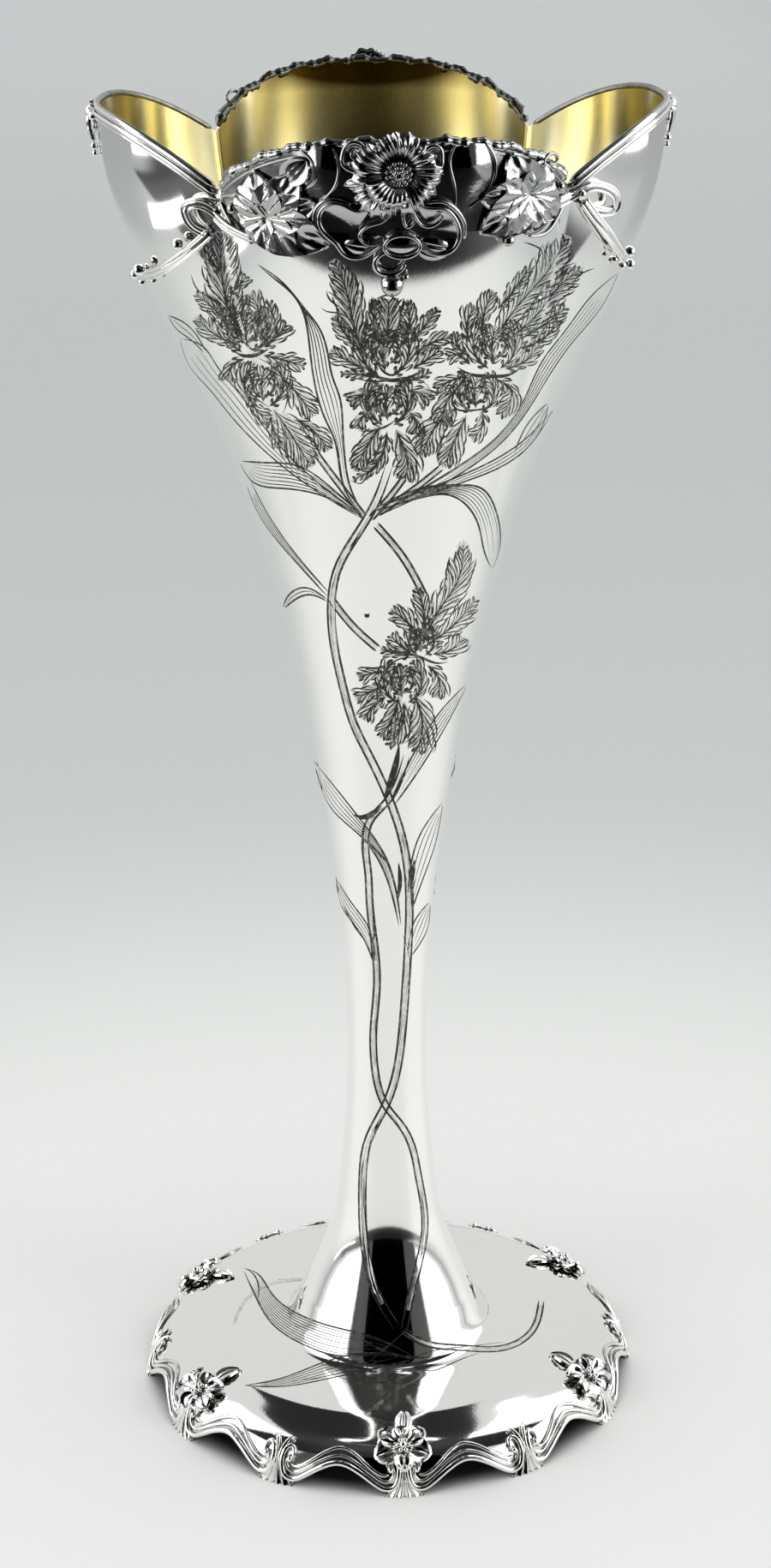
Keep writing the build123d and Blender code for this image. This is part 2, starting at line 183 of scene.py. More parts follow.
# Places on the vase: across, up and off the surface, as someone facing it sees them
def broad_lobe(x, z, w):
    """Places on the front garlanded lobe. Its radius is guessed first, and then mended round by round."""
    x, z, w = floats(x, z, w)
    r = 88.0
    for _ in range(5):
        az = np.degrees(np.arcsin(np.clip(x / r, -0.99, 0.99)))
        r = wall_radius(az, z)
    return off_wall(az, z, w)


def shoulder(x, y, w):
    """Places on the shoulder of the foot, round its point over the front boss."""
    x, y, w = floats(x, y, w)
    s = np.interp(SHOULDER, foot_radii, foot_steps) - y
    r, z = foot_r(s), foot_z(s)
    run, fall = foot_r(s + 0.1) - foot_r(s - 0.1), foot_z(s - 0.1) - foot_z(s + 0.1)
    size = np.hypot(run, fall)
    return polar(np.degrees(x / r), r + w * fall / size, z + w * run / size)


# Ground of the border: height, radius, lean in degrees
BAND = np.array([
    (0, 97.4, -4), (3.4, 96.4, 0), (6, 95.5, 12), (9, 94.3, 28), (11.4, 92.7, 40), (13.6, 90.3, 55), (15.6, 87.6, 66),
    (18.4, 80, 78)], float)


def border_band(x, z, w):
    """Places on the border of the foot, x along it from the front boss."""
    z, w = np.asarray(z, float), np.asarray(w, float)
    lean = np.radians(np.interp(z, BAND[:, 0], BAND[:, 2]))
    r = np.interp(z, BAND[:, 0], BAND[:, 1])
    return polar(np.degrees(np.asarray(x, float) / BORDER_RADIUS), r + w * np.cos(lean), z + w * np.sin(lean))


# Making pieces
def deselect():
    bpy.ops.object.select_all(action="DESELECT")


def pick(obj):
    deselect()
    obj.select_set(True)
    bpy.context.view_layer.objects.active = obj
    return obj


def vertices(obj):
    co = np.empty(len(obj.data.vertices) * 3, np.float32)
    obj.data.vertices.foreach_get("co", co)
    return co.reshape(-1, 3).astype(float)


def set_vertices(obj, co):
    obj.data.vertices.foreach_set("co", np.asarray(co, np.float32).ravel())
    obj.data.update()


def edit(obj, step, **options):
    """Runs an edit-mode operator on the whole mesh."""
    pick(obj)
    bpy.ops.object.mode_set(mode="EDIT")
    bpy.ops.mesh.select_all(action="SELECT")
    getattr(bpy.ops.mesh, step)(**options)
    bpy.ops.object.mode_set(mode="OBJECT")
    return obj


def grid(columns, rows, place, closed=False):
    """Grid of faces laid out by place(u, v), which gives points in millimetres."""
    deselect()
    bpy.ops.mesh.primitive_grid_add(x_subdivisions=columns, y_subdivisions=rows, size=2)
    obj = bpy.context.object
    co = vertices(obj)
    set_vertices(obj, place((co[:, 0] + 1) / 2, (co[:, 1] + 1) / 2) * MM)
    if closed:
        edit(obj, "remove_doubles", threshold=2e-6)
    return obj


def handed(way, rows):
    """Rows on the right side for way 1, on the left for -1."""
    return [(way * x, *rest) for x, *rest in rows]


def thicken(obj, thickness, offset=-1, **options):
    """Gives a sheet its thickness, inwards unless offset says otherwise."""
    pick(obj)
    solidify = obj.modifiers.new("solidify", "SOLIDIFY")
    for key, value in {"thickness": thickness * MM, "offset": offset, **options}.items():
        setattr(solidify, key, value)
    bpy.ops.object.modifier_apply(modifier=solidify.name)
    return obj


def smooth(obj, angle):
    pick(obj)
    bpy.ops.object.shade_smooth()
    bpy.ops.object.shade_smooth_by_angle(angle=radians(angle))
    return obj


def join(parts):
    pick(parts[0])
    for part in parts:
        part.select_set(True)
    bpy.ops.object.join()
    return bpy.context.object


def strand(path, radius, away, sides=8, flat=1.0, loop=False):
    """Round wire along a path; away is where its outer side looks, and flat thins it that way."""
    count = len(path)
    radius = np.array(np.broadcast_to(radius, (count,)), float)
    if loop:
        ring = path[:-1]
        tangent = np.roll(ring, -1, 0) - np.roll(ring, 1, 0)
        tangent = unit(np.concatenate([tangent, tangent[:1]]))
    else:
        tangent = unit(np.gradient(path, axis=0))
        radius[[0, -1]] = 0
        radius[[1, -2]] *= 0.8
    across = unit(np.cross(tangent, away))
    out = np.cross(across, tangent) * flat

    def place(u, v):
        i = np.rint(u * (count - 1)).astype(int)
        turn = 2 * pi * v[:, None]
        return path[i] + (across[i] * np.cos(turn) + out[i] * np.sin(turn)) * radius[i][:, None]
    return grid(count - 1, sides, place, closed=True)


def wire(on, rows, count=36, sides=8, flat=1.0):
    """Wire over a surface, through rows of across, up, height and radius."""
    x, y, w, r = flow(rows, count).T
    path = on(x, y, w)
    return strand(path, np.maximum(r, 0.05), on(x, y, w + 1.0) - path, sides, flat)


def blade(on, base, tip, half, lift, widest=0.75, blunt=0.7, cup=0.0, vein=0.35, ribs=0, rib=0.2, side_veins=0,
          columns=14, rows=22):
    """Petal or leaf lobe from base to tip. lift is its height at the base, the middle and the tip."""
    base, tip = np.array(base, float), np.array(tip, float)
    way = tip - base
    length = np.linalg.norm(way)
    way = way / length
    side = np.array([way[1], -way[0]])
    height = np.polyfit((0, 0.5, 1), lift, 2)

    def place(u, v):
        a = 2 * u - 1
        edge = half * np.sin(pi * np.clip(v, 0, 1) ** widest) ** blunt
        at = base + way * (v * length)[:, None] + side * (a * edge)[:, None]
        rise = np.polyval(height, v) + cup * a * a
        live = np.sin(pi * np.clip(v, 0, 1)) ** 0.5
        rise = rise - vein * np.exp(-(a / 0.13) ** 2) * live
        if ribs:
            rise = rise + rib * np.cos(pi * ribs * a) * live
        if side_veins:
            rise = rise + 0.22 * np.cos(2 * pi * (side_veins * v - 1.3 * np.abs(a))) * live
        return on(at[:, 0], at[:, 1], rise)
    return thicken(grid(columns, rows, place, closed=True), 0.9)


def bead(on, x, y, w, r, segments=16):
    """Solid bead, its equator a little pinched as cast beads are."""
    deselect()
    bpy.ops.mesh.primitive_uv_sphere_add(segments=segments, ring_count=segments // 2 + 2, radius=1)
    obj = bpy.context.object
    co = vertices(obj)
    co *= (1 - 0.05 * np.exp(-(co[:, 2] / 0.1) ** 2))[:, None]
    set_vertices(obj, (co * r + on(x, y, w)) * MM)
    return obj


def scroll(on, lead, centre, radius, turns, start, height, thick):
    """Wire that comes along lead and winds into a scroll, thinner towards its eye. Its angles are in degrees."""
    share = np.linspace(0, 1, 7)
    wound = zip(radius * (1 - 0.75 * share), np.radians(start + turns * share))
    places = [*lead, *((centre[0] + r * cos(t), centre[1] + r * sin(t)) for r, t in wound)]
    share = np.linspace(0, 1, len(places))
    return wire(on, [(x, y, height, thick + (0.45 - thick) * s) for (x, y), s in zip(places, share)], 48)


def mark_hollows(obj, deep, high):
    """Writes how hollow each point is: low over its ground, or in a groove. deep(points) is that height."""
    mesh = obj.data
    co = vertices(obj) / MM
    normals = np.empty(len(co) * 3, np.float32)
    mesh.vertex_normals.foreach_get("vector", normals)
    normals = normals.reshape(-1, 3)
    ends = np.empty(len(mesh.edges) * 2, np.int32)
    mesh.edges.foreach_get("vertices", ends)
    a, b = ends.reshape(-1, 2).T
    lean, count, size = np.zeros((len(co), 3)), np.zeros(len(co)), np.zeros(len(co))
    span = np.linalg.norm(co[b] - co[a], axis=1)
    for one, two in ((a, b), (b, a)):
        np.add.at(lean, one, co[two] - co[one])
        np.add.at(count, one, 1)
        np.add.at(size, one, span)
    groove = (lean * normals).sum(1) / np.maximum(size, 1e-9)
    low = 1 - np.clip(deep(co) / high, 0, 1)
    # This share darkens the chased metal in recesses and grooves: partly oxide, partly painted shade.
    share = np.clip(0.75 * low ** 1.5 + 2.6 * np.clip(groove, 0, 0.3), 0, 1)
    layer = mesh.attributes.new("hollow", "FLOAT", "POINT")
    layer.data.foreach_set("value", share.astype(np.float32))


def round_axis(p):
    """Azimuth and radius of points."""
    return np.degrees(np.arctan2(p[..., 0], -p[..., 1])), np.hypot(p[..., 0], p[..., 1])


def over_wall(co):
    """How far points stand over the trumpet."""
    az, r = round_axis(co)
    return r - wall_radius(az, co[:, 2])


def over_foot(co):
    """How far points stand over the foot."""
    _, r = round_axis(co)
    top = np.interp(r, foot_radii, foot_heights)
    out = r - np.interp(-co[:, 2], -foot_heights, foot_radii)
    return np.maximum(np.minimum(co[:, 2] - top, 99.0), out)


def finish(obj, name, material, nodes):
    """Names a piece, gives it its finish and hangs it on the vase in place of its nodes."""
    obj.name = obj.data.name = name
    if material is not None:
        obj.data.materials.clear()
        obj.data.materials.append(material)
    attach(obj, "root")
    if nodes:
        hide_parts(*nodes)
    return obj


def casting(name, parts, nodes, ground=over_wall, high=2.4, metal=None):
    """Joins the parts of a casting, marks its hollows and finishes it."""
    obj = smooth(join(parts), 55)
    mark_hollows(obj, ground, high)
    return finish(obj, name, metal or mount_silver, nodes)


def spun(co, degrees):
    """Points turned about the axis of the vase."""
    c, s = cos(radians(degrees)), sin(radians(degrees))
    return np.stack([c * co[:, 0] - s * co[:, 1], s * co[:, 0] + c * co[:, 1], co[:, 2]], -1)


def turned(obj, name, degrees, nodes):
    """Copy with a mesh of its own, turned about the axis of the vase."""
    copy = obj.copy()
    copy.data = obj.data.copy()
    bpy.context.scene.collection.objects.link(copy)
    for key in [k for k in copy.keys() if k.startswith("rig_")]:
        del copy[key]
    set_vertices(copy, spun(vertices(copy), degrees))
    return finish(copy, name, None, nodes)


# Camera at the photograph's place: angles in degrees, places in millimetres, the rest in pixels of the photograph
AZIMUTH, DISTANCE, EYE, PITCH, ROLL, FOCAL = -3.5, 1077.0, 676.0, 21.446, -0.27, 3551.8
HALF_WIDE, HALF_HIGH = 450.0, 915.0
SENSOR = 36.0
camera_data = bpy.data.cameras.new("camera")
camera_data.sensor_fit = "VERTICAL"
camera_data.sensor_height = SENSOR
camera_data.lens = SENSOR / 2 * FOCAL / HALF_HIGH
camera_data.clip_start = 0.02
camera_data.clip_end = 40.0
camera = bpy.data.objects.new("camera", camera_data)
bpy.context.scene.collection.objects.link(camera)
camera.location = [c * MM for c in polar(AZIMUTH, DISTANCE, EYE)]
camera.rotation_euler = (Matrix.Rotation(radians(AZIMUTH), 3, "Z") @ Matrix.Rotation(radians(90 - PITCH), 3, "X")
                         @ Matrix.Rotation(radians(ROLL), 3, "Z")).to_euler()
bpy.context.scene.camera = camera
bpy.context.scene.view_settings.view_transform = "Standard"


# Finishes
class Field:
    """A socket that takes plain arithmetic."""

    def __init__(self, paint, socket):
        self.paint, self.socket = paint, socket

    def _with(self, operation, a, b):
        return self.paint.node("ShaderNodeMath", {"operation": operation}, {0: a, 1: b})

    def __add__(self, o): return self._with("ADD", self, o)
    def __radd__(self, o): return self._with("ADD", o, self)
    def __sub__(self, o): return self._with("SUBTRACT", self, o)
    def __rsub__(self, o): return self._with("SUBTRACT", o, self)
    def __mul__(self, o): return self._with("MULTIPLY", self, o)
    def __rmul__(self, o): return self._with("MULTIPLY", o, self)


class Paint:
    """One material."""

    def __init__(self, name, **sockets):
        self.material = bpy.data.materials.new(name)
        self.material.use_nodes = True
        self.tree = self.material.node_tree
        self.shader = self.tree.nodes["Principled BSDF"]
        self.set(**sockets)

    def node(self, kind, settings=None, inputs=None, out=0):
        node = self.tree.nodes.new(kind)
        for key, value in (settings or {}).items():
            setattr(node, key, value)
        for key, value in (inputs or {}).items():
            self.feed(node.inputs[key], value)
        return Field(self, node.outputs[out])

    def feed(self, socket, value):
        if isinstance(value, Field):
            self.tree.links.new(value.socket, socket)
        else:
            socket.default_value = value

    def set(self, **links):
        for key, value in links.items():
            self.feed(self.shader.inputs[key.replace("_", " ").title().replace("Ior", "IOR")], value)

    def place(self):
        return self.node("ShaderNodeTexCoord", out="Object")

    def axes(self):
        """The place's three coordinates."""
        split = self.node("ShaderNodeSeparateXYZ", inputs={"Vector": self.place()})
        return [Field(self, socket) for socket in split.socket.node.outputs]

    def length(self, vector):
        return self.node("ShaderNodeVectorMath", {"operation": "LENGTH"}, {0: vector}, out="Value")

    def noise(self, scale, detail=3.0, rough=0.5, stretch=None):
        at = self.place()
        if stretch:
            at = self.node("ShaderNodeMapping", inputs={"Vector": at, "Scale": stretch})
        return self.node("ShaderNodeTexNoise", inputs={"Vector": at, "Scale": scale, "Detail": detail,
                                                       "Roughness": rough})

    def clamp(self, value):
        return self.node("ShaderNodeClamp", inputs={"Value": value})

    def blend(self, share, a, b):
        return self.node("ShaderNodeMix", {"data_type": "RGBA"}, {0: share, 6: a, 7: b}, out=2)

    def bump(self, height):
        """Raises the surface by height and hands over the finished material."""
        self.set(normal=self.node("ShaderNodeBump", inputs={"Height": height, "Distance": 1.0}))
        return self.material


def wear(paint):
    """A breath of tarnish and fine polishing marks."""
    return paint.clamp((paint.noise(9.0, 4.0, 0.6) - 0.45) * 0.5), paint.noise(900.0, 2.0, 0.6, (1, 1, 0.12))


def hammered(paint, wave, fine):
    """The hammer's soft waves under the polishing marks."""
    return paint.bump(paint.noise(14.0, 1.0, 0.4) * wave + fine * 0.000006)


def polished(name, colour, dull, rough, wave, grain):
    """Polished metal."""
    paint = Paint(name, metallic=1.0)
    tarnish, fine = wear(paint)
    paint.set(base_color=paint.blend(tarnish, colour, dull), roughness=fine * grain + rough + tarnish * 0.05)
    return hammered(paint, wave, fine)


def gilding():
    """Gilding, with painted shade darkening it brown towards the edge at the middle of the garlanded lobes, and painted
    highlights paling it towards the valleys.
    The painted shade ends 47 mm off the middle and its dark edge, partly real tarnish and partly painted shade, 65 mm
    off; the pale bands of painted highlight lie from 39 to 84 mm off it."""
    paint = Paint("gilt_inside", metallic=1.0)
    across, _, high = paint.axes()
    aside = across * across
    # Painted shade: a dark reflection down the middle of each garlanded lobe, from 445 mm up
    painted_shade_band = paint.clamp(1.0 - aside * 455.0) * paint.clamp((high - 0.445) * 20.0)
    # Dark top edge: real tarnish, deepened with painted shade
    edge = paint.clamp(1.0 - aside * 240.0) * paint.clamp((high - 0.5) * 125.0) * 0.7
    # Painted highlights: pale bands of gilt towards the valleys
    painted_highlight_bands = paint.clamp(aside * 400.0 - 0.6) * paint.clamp(2.8 - aside * 400.0)
    tarnish, fine = wear(paint)
    gold = paint.blend(tarnish, (0.96, 0.86, 0.47, 1), (0.9, 0.78, 0.36, 1))
    gold = paint.blend(painted_highlight_bands * 0.8, gold, (1.0, 0.96, 0.74, 1))
    paint.set(base_color=paint.blend(paint.clamp(painted_shade_band * 0.8 + edge), gold, (0.05, 0.03, 0.004, 1)),
              roughness=fine * 0.05 + 0.15 + painted_shade_band * 0.1)
    return hammered(paint, 0.0001, fine)


def chased(name, colour, dark):
    """Cast and chased metal, dark in its hollows: partly the oxide that old silver keeps there, partly painted shade.
    """
    paint = Paint(name, metallic=1.0)
    hollow = paint.node("ShaderNodeAttribute", {"attribute_name": "hollow"}, out="Fac")
    grime = paint.noise(260.0, 3.0, 0.6)
    share = paint.clamp(hollow * (grime * 0.5 + 0.75))
    paint.set(base_color=paint.blend(share, colour, dark), roughness=share * 0.2 + grime * 0.05 + 0.08)
    return paint.bump(grime * 0.0001)


def engraved(name, colour, bright):
    """Cut lines, painted dark for the shade in their grooves, with painted glints in random patches."""
    paint = Paint(name, metallic=1.0)
    # Painted glints: brighter colour in random patches
    painted_glint = paint.clamp((paint.noise(420.0, 2.0, 0.5) - 0.5) * 3.0)
    paint.set(base_color=paint.blend(painted_glint, colour, bright), roughness=painted_glint * -0.1 + 0.42)
    return paint.material


def hatched(name, colour, deep):
    """Silver painted in patches of grey shade and paler highlight, for close hatching too fine to cut that catches the
    light in patches.
    """
    paint = Paint(name, metallic=1.0)
    close = paint.noise(700.0, 3.0, 0.65)
    broad = paint.noise(120.0, 2.0, 0.5)
    share = paint.clamp((close - 0.5) * 3.0 + (broad - 0.5) * 2.0 + 0.5)
    paint.set(base_color=paint.blend(share, colour, deep), roughness=share * 0.12 + 0.26)
    return paint.bump(close * 0.00008)


body_silver = polished("body_silver", (0.93, 0.925, 0.905, 1), (0.85, 0.84, 0.8, 1), 0.05, 0.00016, 0.035)
gilt = gilding()
mount_silver = chased("mount_silver", (0.92, 0.915, 0.9, 1), (0.045, 0.043, 0.04, 1))
# Lining of the foot: darker silver, deepened as painted shade where the gaps under the arches show it
shaded_underside = polished("foot_underside", (0.13, 0.125, 0.12, 1), (0.07, 0.065, 0.06, 1), 0.5, 0.0001, 0.1)
# Garland silver, darker all over: partly oxide, partly painted shade for the dark reflections of the garland
garland_oxide_and_painted_shade_silver = chased("garland_oxide_and_painted_shade_silver", (0.5, 0.5, 0.49, 1), (0.008, 0.008, 0.008, 1))
cut_silver = engraved("cut_silver", (0.06, 0.06, 0.058, 1), (0.38, 0.38, 0.37, 1))
hatched_silver = hatched("hatched_silver", (0.93, 0.93, 0.91, 1), (0.7, 0.7, 0.68, 1))


def skin(name, node, columns, rows, shape, lining, angle):
    """Sheet of silver with its lining."""
    obj = grid(columns, rows, shape, closed=True)
    obj.data.materials.append(body_silver)
    obj.data.materials.append(lining)
    thicken(obj, WALL, material_offset=1, material_offset_rim=0)
    finish(smooth(obj, angle), name, None, [node])


# The trumpet
def trumpet_shape(u, v):
    az = u * 360.0 - 45.0
    z = JOINT + (rim_height(az) - JOINT) * v ** 0.8
    return polar(az, wall_radius(az, z), z)


skin("trumpet", "trumpet_body", 256, 120, trumpet_shape, gilt, 50)
stem_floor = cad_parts["stem_floor"]
stem_floor.data.materials.clear()
stem_floor.data.materials.append(gilt)


# The foot
def foot_shape(u, v):
    az = -u * 360.0
    s = np.interp(-arch_height(az), -foot_heights, foot_steps) * v
    return polar(az, foot_r(s), foot_z(s))


skin("foot", "foot_dome", 360, 70, foot_shape, shaded_underside, 60)

# Border of the foot: three reeds that run over each arch and curl up into scrolls at the bosses
SPAN = radians(BOSS_STEP) * BORDER_RADIUS
STRIP_START = 5.4
REEDS = (
    [(4.9, 9.2, 0.7, 0.5), (6.2, 10.6, 0.9, 0.7), (5.2, 12.7, 1.0, 0.9), (3.0, 12.4, 1.2, 1.0), (1.9, 9.6, 1.2, 1.0),
     (2.3, 6.2, 1.0, 1.1), (3.9, 3.5, 0.9, 1.1), (6.6, 2.7, 0.7, 1.1), (10.6, 4.3, 0.5, 1.15), (16, 7.8, 0.5, 1.2),
     (SPAN / 2, 10.6, 0.6, 1.25)],
    [(6.4, 8.9, 0.5, 0.4), (4.7, 10.2, 0.7, 0.6), (3.8, 8.6, 0.7, 0.7), (4.4, 6.4, 0.5, 0.75), (6.6, 5.1, 0.3, 0.75),
     (10.0, 6.3, 0.2, 0.8), (15.6, 9.8, 0.2, 0.8), (SPAN / 2, 12.6, 0.3, 0.8)],
    [(5.6, 7.6, 0.3, 0.4), (7.6, 7.3, 0.4, 0.6), (10.6, 8.4, 0.4, 0.75), (15.8, 11.7, 0.4, 0.8),
     (SPAN / 2, 14.5, 0.4, 0.8)])


def full_span(half):
    """Rows of a reed from boss to boss, out of those up to the crown of the arch."""
    return half + [(SPAN - x, z, w, r) for x, z, w, r in half[-2::-1]]


def border_strip(u, v):
    """Ground behind the reeds."""
    x = STRIP_START + (SPAN - 2 * STRIP_START) * u
    near, places = np.minimum(x, SPAN - x), (STRIP_START, 8, 10.6, 16, SPAN / 2)
    low = np.interp(near, places, (3.0, 3.2, 4.3, 7.8, 10.6))
    high = np.interp(near, places, (8.0, 7.6, 8.4, 11.7, 14.5))
    return border_band(x, low + (high - low) * v, 0.1)


span = join([*(wire(border_band, full_span(reed), 110) for reed in REEDS), thicken(grid(60, 6, border_strip), 1.6)])
spans = [span]
for boss in range(1, BOSSES):
    pick(span)
    bpy.ops.object.duplicate()
    spans.append(bpy.context.object)
    set_vertices(spans[-1], spun(vertices(spans[-1]), BOSS_STEP * boss))
casting("reeded_border", spans, ["foot_border"], over_foot, 2.6)


# Shell fans under the bosses
def shell(u, v):
    a = 1 - 2 * u
    groove = 0.5 - 0.5 * np.cos(5 * pi * (a + 1))
    half = 1.5 + 5.6 * v ** 1.5
    z = 10.6 * (1 - v) + 0.7 * groove * v ** 6
    return border_band(a * half, z, 1.5 + 0.5 * v - 0.9 * groove * v ** 0.6 - 0.7 * a * a)


fan_parts = [thicken(grid(40, 18, shell), 2.6)]
for way in (-1, 1):
    fan_parts.append(bead(border_band, way * 5.0, 9.3, 1.2, 1.2))
    fan_parts.append(wire(border_band, handed(way, (
        (0.5, 8.4, 1.5, 0.5), (0.9, 11.2, 1.3, 0.7), (1.9, 13.4, 1.2, 0.8), (3.4, 14.6, 1.2, 0.6),
        (4.6, 14.0, 1.3, 0.5))), 24))
co = vertices(fan_parts[0])
co[:, 2] = np.maximum(co[:, 2], 0)
set_vertices(fan_parts[0], co)
fan = casting("shell_fan_1", fan_parts, ["fan_foot_1"], over_foot, 2.6)
for boss in range(1, BOSSES):
    turned(fan, f"shell_fan_{boss + 1}", BOSS_STEP * boss, [f"fan_foot_{boss + 1}"])

# Flowers on the shoulder of the foot, over every other boss
flower_parts = []
for turn, reach, half in ((-18, 10.4, 3.7), (36, 9.8, 3.6), (92, 7.6, 3.2), (146, 10.2, 3.7), (198, 10.8, 3.8),
                          (272, 7.6, 3.4)):
    flower_parts.append(blade(shoulder, heading(turn) * 1.2, heading(turn) * reach, half, (1.0, 3.0, 1.9), widest=1.15,
                              blunt=0.6, cup=1.0, vein=0.7, ribs=2, rib=0.3, columns=12, rows=14))
for turn in (10, 64, 118, 172, 236, 304):
    flower_parts.append(blade(shoulder, heading(turn) * 2.0, heading(turn) * 8.2, 1.9, (0.8, 1.5, 0.9), vein=0.4,
                              columns=8, rows=10))
flower_parts.append(blade(shoulder, (0.4, 7.0), (1.6, 17.8), 2.9, (0.7, 1.5, 0.5), vein=0.8, ribs=2, cup=0.5))
for turn in range(0, 360, 60):
    flower_parts.append(bead(shoulder, *(1.9 * heading(turn)), 3.1, 0.95, 10))
flower_parts.append(bead(shoulder, 0, 0, 3.5, 1.5, 14))
flower = casting("flower_mount_1", flower_parts, ["foot_flower_1"], over_foot, 2.6)
for index in range(1, BOSSES // 2):
    turned(flower, f"flower_mount_{index + 1}", 2 * BOSS_STEP * index, [f"foot_flower_{index + 1}"])


# Rim of the plain side lobes: reeded edge and the lump with its drip
def side_lobe(x, z, w):
    """Places on the right side lobe."""
    return off_wall(90 + np.degrees(np.asarray(x, float) / SIDE_RADIUS), z, w)


edge_az = np.linspace(45.6, 134.4, 120)
edge_parts = []
for drop, off, r in ((0.1, -0.25, 1.3), (2.3, 0.4, 1.0), (4.0, 0.2, 0.65)):
    path = off_wall(edge_az, rim_height(edge_az) - drop, off)
    edge_parts.append(strand(path, r, wall_normal(edge_az, rim_height(edge_az) - drop)))
edge = casting("lobe_edge_right", edge_parts, ["rim_wire_right"], over_wall, 1.2)
turned(edge, "lobe_edge_left", 180, ["rim_wire_left"])

tip_parts = [bead(side_lobe, 0, 507.3, 1.5, 2.6, 20)]
for way in (-1, 1):
    tip_parts.append(bead(side_lobe, way * 2.9, 506.2, 1.3, 1.7))
    tip_parts.append(blade(side_lobe, (way * 1.5, 508.2), (way * 8.4, 509.4), 1.9, (1.6, 2.3, 0.9), vein=0.5, ribs=2))
    tip_parts.append(wire(side_lobe, handed(way, (
        (2.2, 504.8, 1.2, 0.7), (3.6, 502.4, 1.0, 0.7), (2.4, 500.8, 0.9, 0.5), (1.4, 502.0, 0.9, 0.4))), 20))
tip_parts.append(wire(side_lobe, [(0, 506.4, 2.2, 1.9), (0.2, 502.6, 2.4, 1.5), (0, 499.0, 2.1, 1.0),
                                  (-0.1, 496.6, 1.7, 0.75)], 24, 10))
tip_parts += [bead(side_lobe, 0, 495.4, 1.8, 1.4), bead(side_lobe, 0.1, 493.0, 1.8, 1.15)]
tip = casting("lobe_drip_right", tip_parts, ["rim_tip_right"], over_wall, 2.0)
turned(tip, "lobe_drip_left", 180, ["rim_tip_left"])

# Garland of the front lobe. Places are across and up, seen from the front
BLOOM = np.array([-0.6, 501.0])
RIBBON_HALF = 56.5


def garland_piece(name, parts, node, high=2.8, metal=None):
    """Casting of the front garland, with its copy at the back."""
    front = casting(name + "_front", parts, [node + "_front"], over_wall, high, metal=metal or garland_oxide_and_painted_shade_silver)
    turned(front, name + "_back", 180, [node + "_back"])


def ribbon_shape(u, v):
    x = RIBBON_HALF * (2 * u - 1)
    low = np.interp(x, (-RIBBON_HALF, -50, -44, -36, -20, 20, 36, 44, 50, RIBBON_HALF),
                    (484.5, 477.5, 477.0, 480.0, 480.0, 480.0, 480.0, 478.4, 479.0, 485.5))
    az = np.degrees(np.arcsin(x / BROAD_RADIUS))
    z = low + (rim_height(az) + 0.4 - low) * v
    left = np.exp(-((x + 25) / 5.5) ** 2 - ((z - 502) / 8.5) ** 2)
    right = np.exp(-((x - 23.5) / 5.5) ** 2 - ((z - 502) / 8.5) ** 2)
    folds = 0.35 * np.cos(x / 2.4) * np.exp(-((z - 484) / 6) ** 2)
    return broad_lobe(x, z, 0.9 + 1.9 * left + 2.1 * right + folds)


top_az = np.linspace(-43.6, 43.6, 150)
top_lumps = 1.6 + 0.5 * np.sin(top_az * 1.1) * np.sin(top_az * 0.47 + 1) + 0.25 * np.sin(top_az * 2.9)
top_edge = off_wall(top_az, rim_height(top_az) + 0.35 + 0.5 * np.sin(top_az * 0.8 + 0.6), 0.1)
ribbon_parts = [thicken(grid(150, 30, ribbon_shape), 1.6),
                strand(top_edge, top_lumps, polar(top_az, 1.0, 0.0)),
                strand(off_wall(top_az, rim_height(top_az) - 2.4, 0.5), 0.65,
                       wall_normal(top_az, rim_height(top_az) - 2.4))]
for way in (-1, 1):
    for rows in (((57.0, 486.8, 1.0, 0.8), (53.5, 480.4, 1.4, 0.9), (48.5, 475.8, 1.6, 0.8), (43, 476.0, 1.2, 0.6)),
                 ((57.0, 488.4, 0.9, 0.7), (52.0, 490.0, 1.6, 0.8), (47.5, 494.0, 1.6, 0.6))):
        ribbon_parts.append(wire(broad_lobe, handed(way, rows)))
for rows in ([(-30.5, 494.5, 1.0, 0.6), (-26.6, 498.0, 1.9, 0.8), (-27.2, 504.0, 1.9, 0.8), (-31.5, 507.3, 1.4, 0.6)],
             [(-26.2, 490.0, 1.0, 0.5), (-20.6, 496.0, 1.4, 0.6), (-19.4, 503.0, 1.4, 0.6), (-21.5, 509.5, 1.0, 0.5)],
             [(18.0, 489.0, 1.0, 0.5), (17.2, 497.0, 1.4, 0.6), (15.8, 504.0, 1.4, 0.6), (18.4, 510.4, 1.0, 0.5)],
             [(22.0, 488.0, 1.0, 0.5), (29.5, 495.0, 1.4, 0.6), (30.5, 503.5, 1.6, 0.8), (27.0, 509.8, 1.2, 0.6)]):
    ribbon_parts.append(wire(broad_lobe, rows))
garland_piece("ribbon", ribbon_parts, "garland_ribbon", 2.2)


